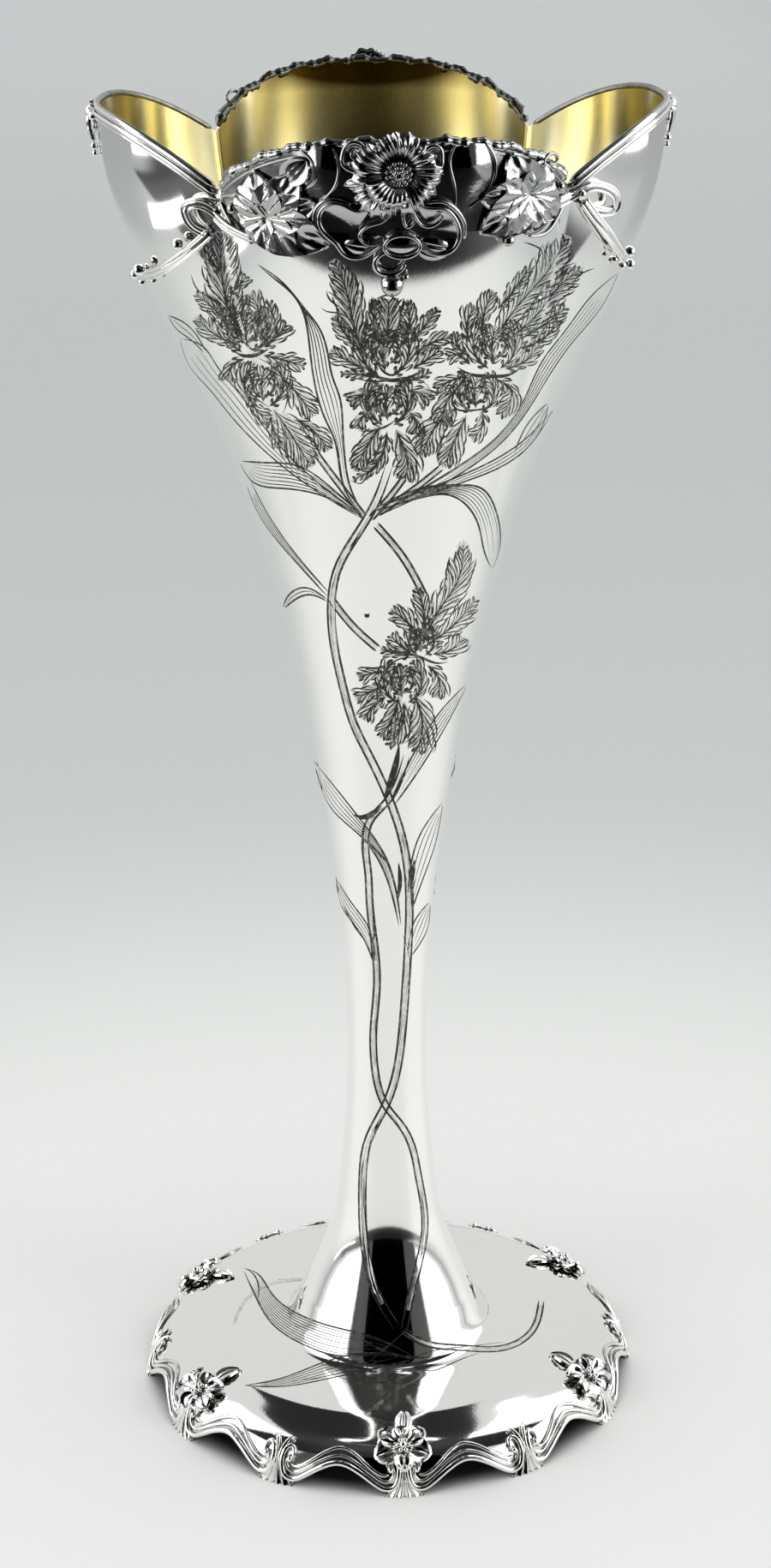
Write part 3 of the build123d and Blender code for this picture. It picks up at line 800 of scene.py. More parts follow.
# The bloom: a fluted dish of five petals, longer on its low left, with a frilled lip under its heart
def dish_shape(u, v):
    turn = 2 * pi * u
    five = np.abs(np.cos(2.5 * (turn - pi / 2)))
    low_left = np.maximum(0, np.cos(turn - radians(212)))
    wander = turn + 0.07 * np.sin(3 * turn + 1) + 0.05 * np.sin(7 * turn)
    edge = 11.2 + 2.2 * five ** 0.7 + 2.6 * low_left ** 2 + 0.45 * np.cos(31 * wander) + 0.6 * np.sin(5 * turn + 2)
    reach = 2.6 + (edge - 2.6) * v
    turn = turn + 0.16 * v * v * np.sin(2.5 * (turn - 1))
    flute = np.cos(31 * wander) * (0.12 + 0.5 * np.sin(pi * np.clip(v, 0, 0.98) ** 0.8))
    height = 1.6 + 4.4 * np.sin(pi * 0.62 * v ** 1.1) - 2.2 * v ** 5 + flute + 0.9 * (five - 0.6) * v ** 2
    return broad_lobe(BLOOM[0] + reach * np.cos(turn), BLOOM[1] + reach * np.sin(turn), height)


def lip_shape(u, v):
    turn = np.radians(196 + 104 * u)
    flute = np.cos(2 * pi * 9 * u)
    reach = 4.4 + 5.2 * v * (0.75 + 0.25 * np.sin(pi * u)) + 0.2 * flute * v
    height = 4.0 + 3.2 * np.sin(pi * 0.7 * v) + 0.34 * flute * np.sin(pi * np.minimum(v, 0.97)) - 1.6 * v ** 6
    return broad_lobe(BLOOM[0] - 1.2 * v + reach * np.cos(turn), BLOOM[1] + reach * np.sin(turn), height)


petals = [thicken(grid(360, 26, dish_shape, closed=True), 1.2, 1),
          thicken(grid(120, 14, lip_shape), 0.9)]
for lead, centre, radius, turns, start in (
        ([(-8.0, 502.0), (-13.0, 501.6), (-17.6, 504.0)], (-13.6, 507.6), 4.2, -430, 190),
        ([(7.6, 502.5), (12.6, 503.4)], (9.8, 507.0), 3.4, 420, -30)):
    petals.append(scroll(broad_lobe, lead, centre, radius, turns, start, 3.4, 0.9))
    petals.append(scroll(broad_lobe, [], centre, radius * 0.72, turns * 0.8, start - 20, 3.2, 0.5))
for turn, reach in ((150, 16.5), (172, 17.0), (194, 17.8), (216, 18.0), (-14, 14.0), (-32, 14.5), (-52, 14.0)):
    petals.append(blade(broad_lobe, BLOOM + heading(turn) * 7.0, BLOOM + heading(turn) * reach, 2.2, (4.2, 4.4, 1.8),
                        widest=1.1, cup=-0.8, vein=0.5, ribs=2, rib=0.3, columns=10, rows=14))
garland_piece("bloom_petals", petals, "bloom", 4.2)

heart = [bead(broad_lobe, BLOOM[0], BLOOM[1], 3.6, 2.8, 20)]
for ring, count, height, size in ((3.6, 13, 4.2, 0.85), (2.4, 9, 5.4, 0.75), (1.1, 5, 6.2, 0.65)):
    for k in range(count):
        turn = 2 * pi * (k + 0.3 * ring) / count
        heart.append(bead(broad_lobe, BLOOM[0] + ring * cos(turn), BLOOM[1] + ring * sin(turn), height, size, 10))
garland_piece("bloom_stamens", heart, "bloom_heart", 5.5)


# Vine leaves: broad pointed lobes, dished, veined and turned up at their edges
def vine_leaf(base, lobes, lift):
    lifts = lift - 0.2, lift + 1.1, lift - 0.8
    return [blade(broad_lobe, base - heading(turn) * 1.6, base + heading(turn) * reach, half * 1.28, lifts, widest=0.8,
                  blunt=0.75, cup=0.7, vein=0.6, side_veins=3, columns=20, rows=30) for turn, reach, half in lobes]


LEFT_BASE, RIGHT_BASE = np.array([-42.0, 484.0]), np.array([42.4, 490.6])
left_leaf = vine_leaf(LEFT_BASE, (
    (104, 15.4, 5.6), (58, 18.6, 5.4), (24, 17.0, 5.0), (-22, 20.5, 6.2), (-52, 15.0, 4.8), (-112, 9.4, 3.4),
    (172, 9.0, 3.6)), 2.4)
left_leaf += [blade(broad_lobe, (-36.5, 496.0), (-29.0, 504.5), 4.2, (1.4, 3.0, 1.8), widest=1.1, cup=0.7, ribs=2),
              bead(broad_lobe, -52.4, 485.6, 2.2, 1.9),
              wire(broad_lobe, [(-46.0, 477.6, 2.0, 1.0), (-44.0, 480.6, 2.6, 0.9), (*LEFT_BASE, 3.2, 0.7)], 16)]
garland_piece("left_vine_leaf", left_leaf, "vine_leaf_left", 3.2)

right_leaf = vine_leaf(RIGHT_BASE, (
    (116, 15.6, 5.2), (64, 11.0, 4.6), (178, 16.2, 5.0), (214, 19.4, 5.6), (246, 14.6, 4.6), (281, 13.0, 4.4),
    (314, 14.0, 4.4), (-14, 10.4, 3.8)), 2.5)
right_leaf += [scroll(broad_lobe, [(45.0, 495.0), (48.5, 499.0)], (50.2, 500.4), 2.9, -400, 190, 2.0, 0.8),
               bead(broad_lobe, 35.4, 476.2, 2.4, 2.1), bead(broad_lobe, 53.6, 491.0, 2.0, 1.6)]
garland_piece("right_vine_leaf", right_leaf, "vine_leaf_right", 3.2)

# Rolled petals under the bloom, with their tendrils
left_rim = [(-9.0, 490.4), (-13.5, 488.8), (-18.5, 491.0), (-23.4, 489.8), (-25.0, 485.6), (-23.4, 481.4),
            (-19.6, 477.8), (-17.4, 474.6), (-13.2, 473.2), (-8.8, 475.2), (-5.4, 478.2)]
right_rim = [(4.6, 491.4), (8.6, 489.6), (14.0, 489.0), (17.8, 484.4), (18.6, 479.2), (16.0, 475.0), (11.0, 474.2),
             (6.4, 476.6)]
left_outer = [(-15.0, 490.6), (-19.0, 492.0), (-24.0, 491.2), (-26.6, 486.6), (-25.6, 481.6), (-22.0, 478.0)]
right_outer = [(8.0, 491.0), (13.0, 491.4), (17.6, 488.4), (20.4, 483.4), (20.6, 478.4)]
left_tendril = [(-2.6, 489.4), (-4.9, 485.8), (-10.8, 483.4), (-12.6, 480.4), (-10.0, 477.8), (-5.4, 478.6)]
right_tendril = [(3.2, 494.6), (4.4, 487.8), (7.4, 484.0), (11.8, 485.0), (13.0, 487.6), (11.0, 488.8)]
drop_tendril = [(2.6, 492.0), (1.0, 487.2), (2.4, 483.8), (4.2, 485.6), (3.2, 488.0)]


def rolled_wire(places, height, thick, count):
    """Wire thickest at its middle."""
    share = np.linspace(0, 1, len(places))
    rows = [(x, z, height, thick * (0.6 + 0.55 * sin(pi * s))) for (x, z), s in zip(places, share)]
    return wire(broad_lobe, rows, count)


def rolled_petal(places, centre):
    """Dished field inside a rolled rim."""
    steps = 60
    rim = flow(places, steps + 1)

    def field(u, v):
        edge = rim[np.rint(u * steps).astype(int)]
        at = np.array(centre) + (edge - np.array(centre)) * v[:, None]
        return broad_lobe(at[:, 0], at[:, 1], 1.2 + 1.9 * v ** 2.2 + 0.12 * np.cos(9 * pi * u) * v)
    return thicken(grid(steps, 14, field, closed=True), 1.0, 0)


left_scroll = [rolled_wire(left_rim, 3.3, 0.75, 70), rolled_wire(left_outer, 2.6, 0.9, 40),
               rolled_wire(left_tendril, 3.0, 0.5, 50), rolled_petal(left_rim, (-14.0, 482.0)),
               blade(broad_lobe, (-7.6, 475.8), (-18.8, 477.8), 2.8, (1.8, 3.4, 2.2), vein=0.5, cup=-0.5)]
garland_piece("left_rolled_petal", left_scroll, "scroll_left", 3.4)
right_scroll = [rolled_wire(right_rim, 3.3, 0.75, 60), rolled_wire(right_outer, 2.6, 0.85, 40),
                rolled_wire(right_tendril, 3.6, 0.55, 50), rolled_wire(drop_tendril, 3.4, 0.55, 40),
                rolled_petal(right_rim, (10.0, 482.0)),
                blade(broad_lobe, (6.0, 478.0), (18.0, 475.2), 2.6, (1.8, 3.4, 2.0), vein=0.5, cup=-0.5),
                blade(broad_lobe, (5.6, 475.4), (15.0, 472.2), 2.2, (1.6, 2.8, 1.6), vein=0.4, cup=-0.5)]
garland_piece("right_rolled_petal", right_scroll, "scroll_right", 3.4)


# Oval boss, link and pendant ball
def oval_place(turn, wide, high, w):
    return broad_lobe(0.7 + wide * np.cos(turn), 477.2 + high * np.sin(turn), w)


def oval_shape(u, v):
    return oval_place(-2 * pi * u, 5.4 * v, 3.6 * v, 2.6 + 1.2 * np.cos(pi * v / 2))


ring = np.radians(np.linspace(0, 360, 61))
ring_at = oval_place(ring, 5.6, 3.8, 3.4)
oval = [strand(ring_at, 0.65, oval_place(ring, 5.6, 3.8, 4.4) - ring_at, loop=True),
        thicken(grid(40, 10, oval_shape, closed=True), 1.8)]
garland_piece("oval_boss_ring", oval, "oval_boss", 3.4)
pendant = [wire(broad_lobe, [(-3.6, 475.2, 2.4, 0.6), (-7.4, 472.6, 2.4, 0.95), (-7.2, 469.0, 2.3, 1.05),
                             (-3.4, 467.2, 2.2, 0.95), (0.4, 468.4, 2.0, 0.8), (2.0, 470.8, 1.8, 0.6)], 44),
           bead(broad_lobe, -2.2, 463.6, 2.2, 3.9, 24), bead(broad_lobe, 2.0, 466.0, 2.0, 1.3, 12)]
garland_piece("pendant", pendant, "pendant_ball", 3.2)

# Flat whiplash straps that fold over the valleys: band, bar and balls, in azimuth, height and distance off the wall
MM_PER_DEGREE = 1.5
STRAPS = {
    "left": ([(-33.5, 475.6, 1.4), (-39.1, 478.0, 2.2), (-45.0, 482.6, 2.8), (-48.4, 485.8, 3.2), (-51.2, 485.2, 3.4),
              (-51.9, 481.6, 3.2), (-50.6, 477.6, 2.6), (-48.0, 475.6, 1.8)],
             [(-47.4, 476.2, 1.8), (-52.0, 470.4, 2.6), (-58.6, 464.0, 3.0), (-66.0, 458.9, 3.0), (-75.5, 455.6, 3.0)],
             [(-77.6, 455.2, 3.0, 1.8), (-71.6, 459.0, 3.8, 2.1), (-75.4, 452.9, 2.6, 1.4), (-68.4, 455.2, 2.4, 1.1),
              (-55.6, 471.2, 3.4, 2.0)]),
    "right": ([(39.6, 485.0, 1.4), (45.4, 486.8, 2.2), (49.4, 489.2, 2.8), (53.8, 487.8, 3.2), (56.6, 483.6, 3.4),
               (56.4, 480.2, 3.0), (53.0, 480.2, 2.4), (49.6, 482.6, 1.6)],
              [(48.6, 484.6, 1.8), (52.4, 477.8, 2.6), (56.6, 471.8, 3.0), (61.0, 466.2, 3.0), (65.6, 461.2, 3.0)],
              [(66.2, 463.8, 3.6, 2.0), (70.2, 458.0, 3.0, 1.9), (66.4, 458.4, 2.6, 1.4), (62.0, 461.6, 2.4, 1.1),
               (47.6, 487.2, 3.6, 1.3)])}
for side, (band, bar, balls) in STRAPS.items():
    straps = [bead(off_wall, *ball) for ball in balls]
    for path, wide, count in ((band, 1.9, 70), (bar, 1.7, 50)):
        rows = [(*place, wide) for place in path]
        straps.append(wire(off_wall, rows, count, 12, 0.42))
        for drop in (-1.25, 1.25):
            way = unit(np.gradient(np.array([(a * MM_PER_DEGREE, z) for a, z, _ in path]), axis=0))
            straps.append(wire(off_wall, [(a - drop * t[1] / MM_PER_DEGREE, z + drop * t[0], w + 0.5, 0.55)
                                          for (a, z, w), t in zip(path, way)], count))
    garland_piece(f"strap_{side}", straps, f"whiplash_{side}", 3.6, mount_silver)


# Engraving. Its places are pixels of the photograph, cast from the camera onto the silver
rng = np.random.default_rng(7)
view = np.array(camera.rotation_euler.to_matrix())
eye = polar(AZIMUTH, DISTANCE, EYE)
NEAREST, FARTHEST = 920.0, 1330.0  # millimetres from the camera, with all the silver between them
STEPS = 60  # along a hatched field
CUT_SCALE = 7.2  # width of a cut in pixels over half its width in millimetres


def outside(p):
    """How far points stand off the skin of the trumpet and the foot."""
    az, r = round_axis(p)
    over = p[..., 2] - np.interp(r, foot_radii, foot_heights)
    return np.where(p[..., 2] > JOINT, r - wall_radius(az, p[..., 2]), over)


def outward(p):
    """Outward normals of the silver."""
    d = 0.1
    return unit(np.stack([outside(p + d * axis) - outside(p - d * axis) for axis in np.eye(3)], -1))


def cast(pixels):
    """Points of the silver that show at the given pixels."""
    ray = np.stack([pixels[:, 0] - HALF_WIDE, HALF_HIGH - pixels[:, 1], np.full(len(pixels), -FOCAL)], -1)
    ray = unit(ray @ view.T)
    steps = np.linspace(NEAREST, FARTHEST, 120)
    off = np.stack([outside(eye + ray * t) for t in steps])
    first = np.where((off < 0).any(0), (off < 0).argmax(0), off.argmin(0))
    far = steps[np.maximum(first, 1)]
    near = far - (steps[1] - steps[0])
    for _ in range(24):
        mid = (near + far) / 2
        hit = outside(eye + ray * mid[:, None]) < 0
        near, far = np.where(hit, near, mid), np.where(hit, mid, far)
    return eye + ray * far[:, None]


def beside(path):
    """Unit steps square to a flat path."""
    way = unit(np.gradient(path, axis=0))
    return np.stack([way[:, 1], -way[:, 0]], -1)


class Engraving:
    """Cuts and hatched fields of one motif."""

    def __init__(self):
        self.cuts, self.fields = [], []

    def cut(self, points, width, start=0.35, end=0.35):
        """One line, thinner over the given shares at its ends."""
        points = np.asarray(points, float)
        count = int(np.clip(np.linalg.norm(np.diff(points, axis=0), axis=1).sum() / 4.0, 7, 90))
        s = np.linspace(0, 1, count)
        self.cuts.append((flow(points, count), width * np.clip(np.minimum(s / start, (1 - s) / end), 0, 1) ** 0.7))

    def twin(self, points, gap):
        """Two lines side by side over a hatched field, as a stem."""
        path = flow(points, 24)
        for offset in (-0.5, 0.5):
            self.cut(path + beside(path) * gap * offset, 3.0, 0.04, 0.04)
        path = flow(points, STEPS + 1)
        self.fields.append((path, beside(path), np.full(STEPS + 1, gap * 0.48)))

    def strap(self, one, two, veins, width=2.7):
        """Leaf between two edges, veined along."""
        one, two = flow(one, 24), flow(two, 24)
        self.cut(one, width, 0.1, 0.1)
        self.cut(two, width, 0.1, 0.1)
        for k in range(veins):
            vein = one + (two - one) * ((k + 1) / (veins + 1))
            self.cut(vein[2:-(2 + 3 * (k % 2))], width * 0.55, 0.3, 0.5)

    def plume(self, spine, half, gap=4.6, width=1.8, sweep=2.2):
        """Feathery petal: barbs that sweep off both sides of a spine towards its tip, over a hatched field."""
        path = flow(spine, STEPS + 1)
        side = beside(path)
        steps = np.linspace(0, 1, STEPS + 1)
        reach = np.interp(steps, np.linspace(0, 1, len(half)), half)
        length = np.linalg.norm(np.diff(path, axis=0), axis=1).sum()

        def at(s, off):
            s = np.clip(s, 0, 1)
            return np.array([np.interp(s, steps, path[:, k] + side[:, k] * off) for k in (0, 1)])

        barbs = max(5, int(length / gap))
        for hand in (-1, 1):
            for j in range(barbs):
                s = 0.03 + 0.9 * (j + 0.4 * rng.random()) / barbs
                out = np.interp(s + 0.08, steps, reach)
                tooth = (1.2, 0.74, 1.0, 0.66)[j % 4] + 0.1 * rng.standard_normal()
                bold = (1.4, 0.55, 1.05, 0.55)[j % 4]
                ahead = min(sweep * out / length, 1.02 - s)
                tip = at(s + ahead, hand * out * tooth)
                self.cut([at(s, 0), at(s + ahead * 0.35, hand * out * 0.22 * tooth),
                          at(s + ahead * 0.72, hand * out * 0.62 * tooth), tip], width * bold, 0.5, 0.4)
                if j % 2 == 0:
                    self.cut([tip, at(s + ahead * 0.72, hand * out * tooth * 0.98),
                              at(s + ahead * 0.3, hand * out * 0.66)], width * 1.5, 0.3, 0.5)
        self.cut(spine, width * 1.9, 0.15, 0.5)
        self.fields.append((path, side, reach))

    def bulb(self, centre, radius, squash=1.0):
        """Swirl of petals folded round an eye."""
        x, y = centre
        heart = (x, y + 0.8 * radius), (x - 0.1 * radius, y + 0.1 * radius), (x + 0.06 * radius, y - 0.75 * radius)
        self.plume(heart, (2, radius * 0.32, radius * 0.36, 2))
        for hand, inner in ((-1, 1.0), (1, 1.0), (-1, 0.6), (1, 0.55)):
            turn = np.radians((-78, -30, 25, 68))
            self.plume([(x + hand * radius * inner * 0.8 * cos(t), y - radius * inner * squash * sin(t)) for t in turn],
                       (radius * 0.07, radius * 0.3 * inner, radius * 0.34 * inner, 1.5))
        for k, reach in enumerate((radius * 0.2, radius * 0.34)):
            turn = np.radians(np.linspace(20 + 9 * k, 300 - 7 * k, 9))
            self.cut(np.stack([x + reach * np.cos(turn), y + 3 - reach * np.sin(turn)], -1), 2.4)

    def make(self, name, copies):
        """Raises the cuts and the fields off the silver, at the front and, turned, at the back."""
        counts = [len(path) for path, _ in self.cuts]
        path = np.concatenate([p for p, _ in self.cuts])
        width = np.concatenate([w for _, w in self.cuts])[:, None] / CUT_SCALE
        on = cast(path)
        tangent = np.concatenate([np.gradient(p, axis=0) for p in np.split(on, np.cumsum(counts)[:-1])])
        normal = outward(on)
        across = unit(np.cross(tangent, normal))
        high = np.clip(width * 1.4, 0, 0.09)
        corners = np.stack([on + across * width + normal * high * 0.4, on + normal * high,
                            on - across * width + normal * high * 0.4, on - normal * high * 3], 1)

        def ribbons(u, v):
            return corners[np.rint(u * (len(path) - 1)).astype(int), np.rint(v * 4).astype(int) % 4]
        lines = edit(grid(len(path) - 1, 4, ribbons, closed=True), "delete_loose")
        finish(smooth(lines, 80), name + "_cuts_front", cut_silver, [])
        if copies:
            turned(lines, name + "_cuts_back", 180, [])
        fields = []
        for path, side, reach in self.fields:
            def field(u, v):
                i = np.rint(v * STEPS).astype(int)
                a = 2 * u - 1
                ahead = np.clip(i + np.rint(7 * np.abs(a)).astype(int), 0, STEPS - 2)
                tooth = 0.86 + 0.14 * np.sin(i * 1.7)
                off = -a * reach[i] * tooth * np.sin(pi * (0.08 + 0.92 * v)) ** 0.3
                on = cast(path[ahead] + side[ahead] * off[:, None])
                return on + outward(on) * (0.035 - 0.03 * a[:, None] ** 8)
            fields.append(thicken(grid(6, STEPS, field), 0.12))
        hatch = finish(smooth(join(fields), 60), name + "_hatch_front", hatched_silver, [])
        turned(hatch, name + "_hatch_back", 180, [])


def pairs(row):
    """Places out of a row of x and y in turn."""
    return np.reshape(row, (-1, 2))


def engrave(name, petals=(), buds=(), lines=(), stems=(), leaves=(), copies=True):
    """Cuts one motif. A petal is x, y and half width in turn, a bud its middle and radius, a line or a stem its
    width and then x and y in turn, and a leaf its count of veins and its two edges."""
    work = Engraving()
    for row in petals:
        spine = np.reshape(row, (-1, 3))
        work.plume(spine[:, :2], spine[:, 2])
    for x, y, *size in buds:
        work.bulb((x, y), *size)
    for width, *row in lines:
        work.cut(pairs(row), width)
    for gap, *row in stems:
        work.twin(pairs(row), gap)
    for veins, one, two in leaves:
        work.strap(pairs(one), pairs(two), veins)
    work.make(name, copies)


engrave("middle_iris", petals=[
    (428, 420, 4, 414, 385, 14, 407, 350, 17, 398, 322, 11, 386, 300, 3), (440, 402, 4, 436, 375, 9, 441, 350, 3),
    (452, 408, 10, 453, 382, 20, 454, 347, 5), (470, 405, 4, 478, 380, 10, 474, 350, 4),
    (480, 402, 4, 494, 383, 9, 512, 360, 3), (482, 416, 4, 500, 402, 9, 529, 393, 3),
    (480, 431, 5, 498, 420, 10, 515, 407, 3), (425, 412, 4, 405, 392, 9, 389, 367, 3),
    (428, 432, 5, 406, 421, 10, 385, 408, 3), (440, 441, 3, 418, 437, 6, 396, 437, 2),
    (470, 444, 3, 490, 441, 6, 503, 432, 2), (436, 458, 5, 419, 463, 11, 406, 471, 4),
    (432, 480, 4, 420, 491, 9, 417, 502, 3), (476, 455, 5, 491, 460, 13, 504, 470, 5),
    (476, 480, 5, 486, 493, 11, 484, 509, 3), (445, 495, 8, 432, 515, 13, 421, 535, 9, 413, 552, 2),
    (462, 500, 8, 470, 520, 15, 476, 540, 12, 472, 562, 3), (452, 502, 4, 449, 522, 8, 436, 546, 6, 409, 561, 2)],
    buds=[(450, 408, 34, 0.95), (453, 470, 28)], lines=[
    (5.5, 425, 425, 435, 437, 450, 443, 470, 443, 485, 437, 496, 429), (2.4, 437, 350, 455, 345, 467, 357),
    (2.2, 374, 358, 380, 363, 393, 365, 405, 370, 415, 378), (2.0, 513, 358, 508, 365, 497, 368, 487, 375),
    (2.6, 435, 400, 450, 386, 465, 388, 475, 400), (3.4, 440, 420, 446, 432, 458, 438, 470, 430),
    (2.4, 400, 437, 445, 445, 490, 443, 504, 456), (2.8, 440, 447, 430, 458, 427, 470, 430, 485, 440, 497, 450, 501),
    (2.8, 470, 447, 478, 455, 481, 466, 479, 477, 469, 487, 455, 495),
    (2.4, 408, 560, 422, 564, 432, 550, 440, 545, 442, 530), (3, 418, 503, 432, 503, 450, 498, 466, 487)])

engrave("left_iris", petals=[
    (285, 398, 7, 265, 352, 17, 258, 310, 19, 258, 266, 3), (280, 390, 4, 255, 365, 10, 227, 341, 3),
    (282, 403, 5, 255, 393, 11, 228, 369, 3), (290, 402, 8, 275, 370, 18, 271, 344, 5),
    (296, 396, 5, 303, 366, 12, 291, 341, 4), (303, 400, 4, 317, 377, 9, 314, 350, 3),
    (307, 407, 4, 323, 393, 11, 337, 377, 4), (266, 344, 3, 279, 333, 8, 289, 321, 3),
    (262, 318, 4, 245, 303, 7, 243, 284, 3), (287, 418, 4, 271, 427, 10, 265, 446, 3),
    (305, 414, 4, 330, 420, 10, 357, 428, 3), (325, 436, 6, 345, 457, 13, 367, 487, 4),
    (290, 458, 5, 299, 478, 9, 316, 492, 3), (318, 476, 12, 335, 500, 19, 351, 525, 13, 365, 548, 2),
    (315, 485, 5, 321, 505, 9, 330, 521, 3), (345, 488, 5, 368, 505, 11, 384, 527, 3)],
    buds=[(289, 384, 29), (308, 448, 28)], lines=[
    (5, 268, 406, 283, 415, 300, 414, 315, 406), (2.2, 223, 320, 229, 336, 240, 346),
    (2.8, 282, 420, 281, 436, 290, 456, 315, 476), (2.8, 300, 417, 316, 426, 331, 442, 336, 458, 330, 484),
    (2.2, 234, 350, 246, 366, 262, 384, 284, 398), (3, 288, 398, 294, 408, 304, 402)])

engrave("right_iris", petals=[
    (577, 396, 8, 605, 356, 15, 640, 315, 17, 664, 270, 3), (592, 397, 7, 628, 366, 13, 655, 332, 13, 683, 311, 3),
    (562, 392, 5, 565, 366, 11, 576, 338, 3), (548, 402, 4, 545, 380, 10, 555, 355, 3),
    (580, 362, 4, 600, 338, 9, 620, 310, 3), (610, 394, 5, 640, 376, 11, 662, 357, 3),
    (605, 407, 4, 630, 398, 9, 654, 371, 3), (550, 427, 4, 533, 414, 9, 520, 417, 3),
    (547, 416, 4, 533, 400, 8, 537, 388, 3), (588, 431, 4, 612, 422, 9, 633, 395, 3),
    (548, 438, 4, 527, 444, 9, 507, 456, 3), (540, 448, 6, 523, 466, 13, 515, 498, 4),
    (578, 442, 5, 597, 456, 11, 582, 487, 3), (535, 474, 9, 510, 496, 15, 491, 535, 3),
    (545, 484, 8, 532, 511, 14, 518, 547, 3), (562, 478, 5, 563, 497, 9, 549, 513, 3)],
    buds=[(577, 402, 30), (556, 458, 25)], lines=[
    (5, 533, 428, 550, 437, 568, 439, 598, 436, 612, 425), (2.2, 610, 282, 622, 286, 631, 291, 635, 301),
    (2.2, 640, 297, 643, 306, 640, 316, 630, 329), (2.2, 695, 313, 678, 320, 668, 330),
    (2.8, 548, 442, 535, 450, 528, 465, 531, 476, 550, 479, 570, 475, 580, 464, 580, 450, 574, 441),
    (2.4, 500, 498, 494, 512, 490, 536), (3, 572, 412, 576, 424, 586, 418)])

engrave("low_iris", petals=[
    (492, 757, 6, 510, 716, 13, 535, 676, 15, 541, 627, 2), (490, 752, 5, 478, 729, 11, 455, 711, 3),
    (493, 747, 5, 495, 716, 10, 485, 684, 3), (500, 752, 5, 530, 729, 12, 557, 697, 3),
    (503, 764, 5, 530, 756, 11, 541, 742, 4), (482, 763, 4, 466, 752, 8, 455, 740, 3),
    (480, 766, 3, 460, 762, 7, 443, 757, 2), (457, 784, 4, 438, 785, 9, 417, 791, 3),
    (452, 800, 5, 431, 808, 11, 414, 816, 3), (452, 812, 5, 434, 826, 10, 424, 841, 3),
    (466, 810, 8, 459, 836, 12, 443, 862, 3), (482, 808, 11, 493, 842, 16, 485, 881, 3),
    (497, 775, 5, 512, 791, 11, 510, 816, 3), (472, 818, 7, 468, 850, 10, 452, 872, 3)],
    buds=[(470, 795, 27), (492, 748, 18)], lines=[
    (4, 445, 757, 462, 760, 480, 764, 493, 768, 510, 774, 525, 772),
    (2.8, 490, 768, 462, 771, 446, 790, 440, 810, 446, 826, 456, 826), (3, 425, 778, 436, 780, 446, 778),
    (3, 486, 762, 492, 740, 512, 712)])

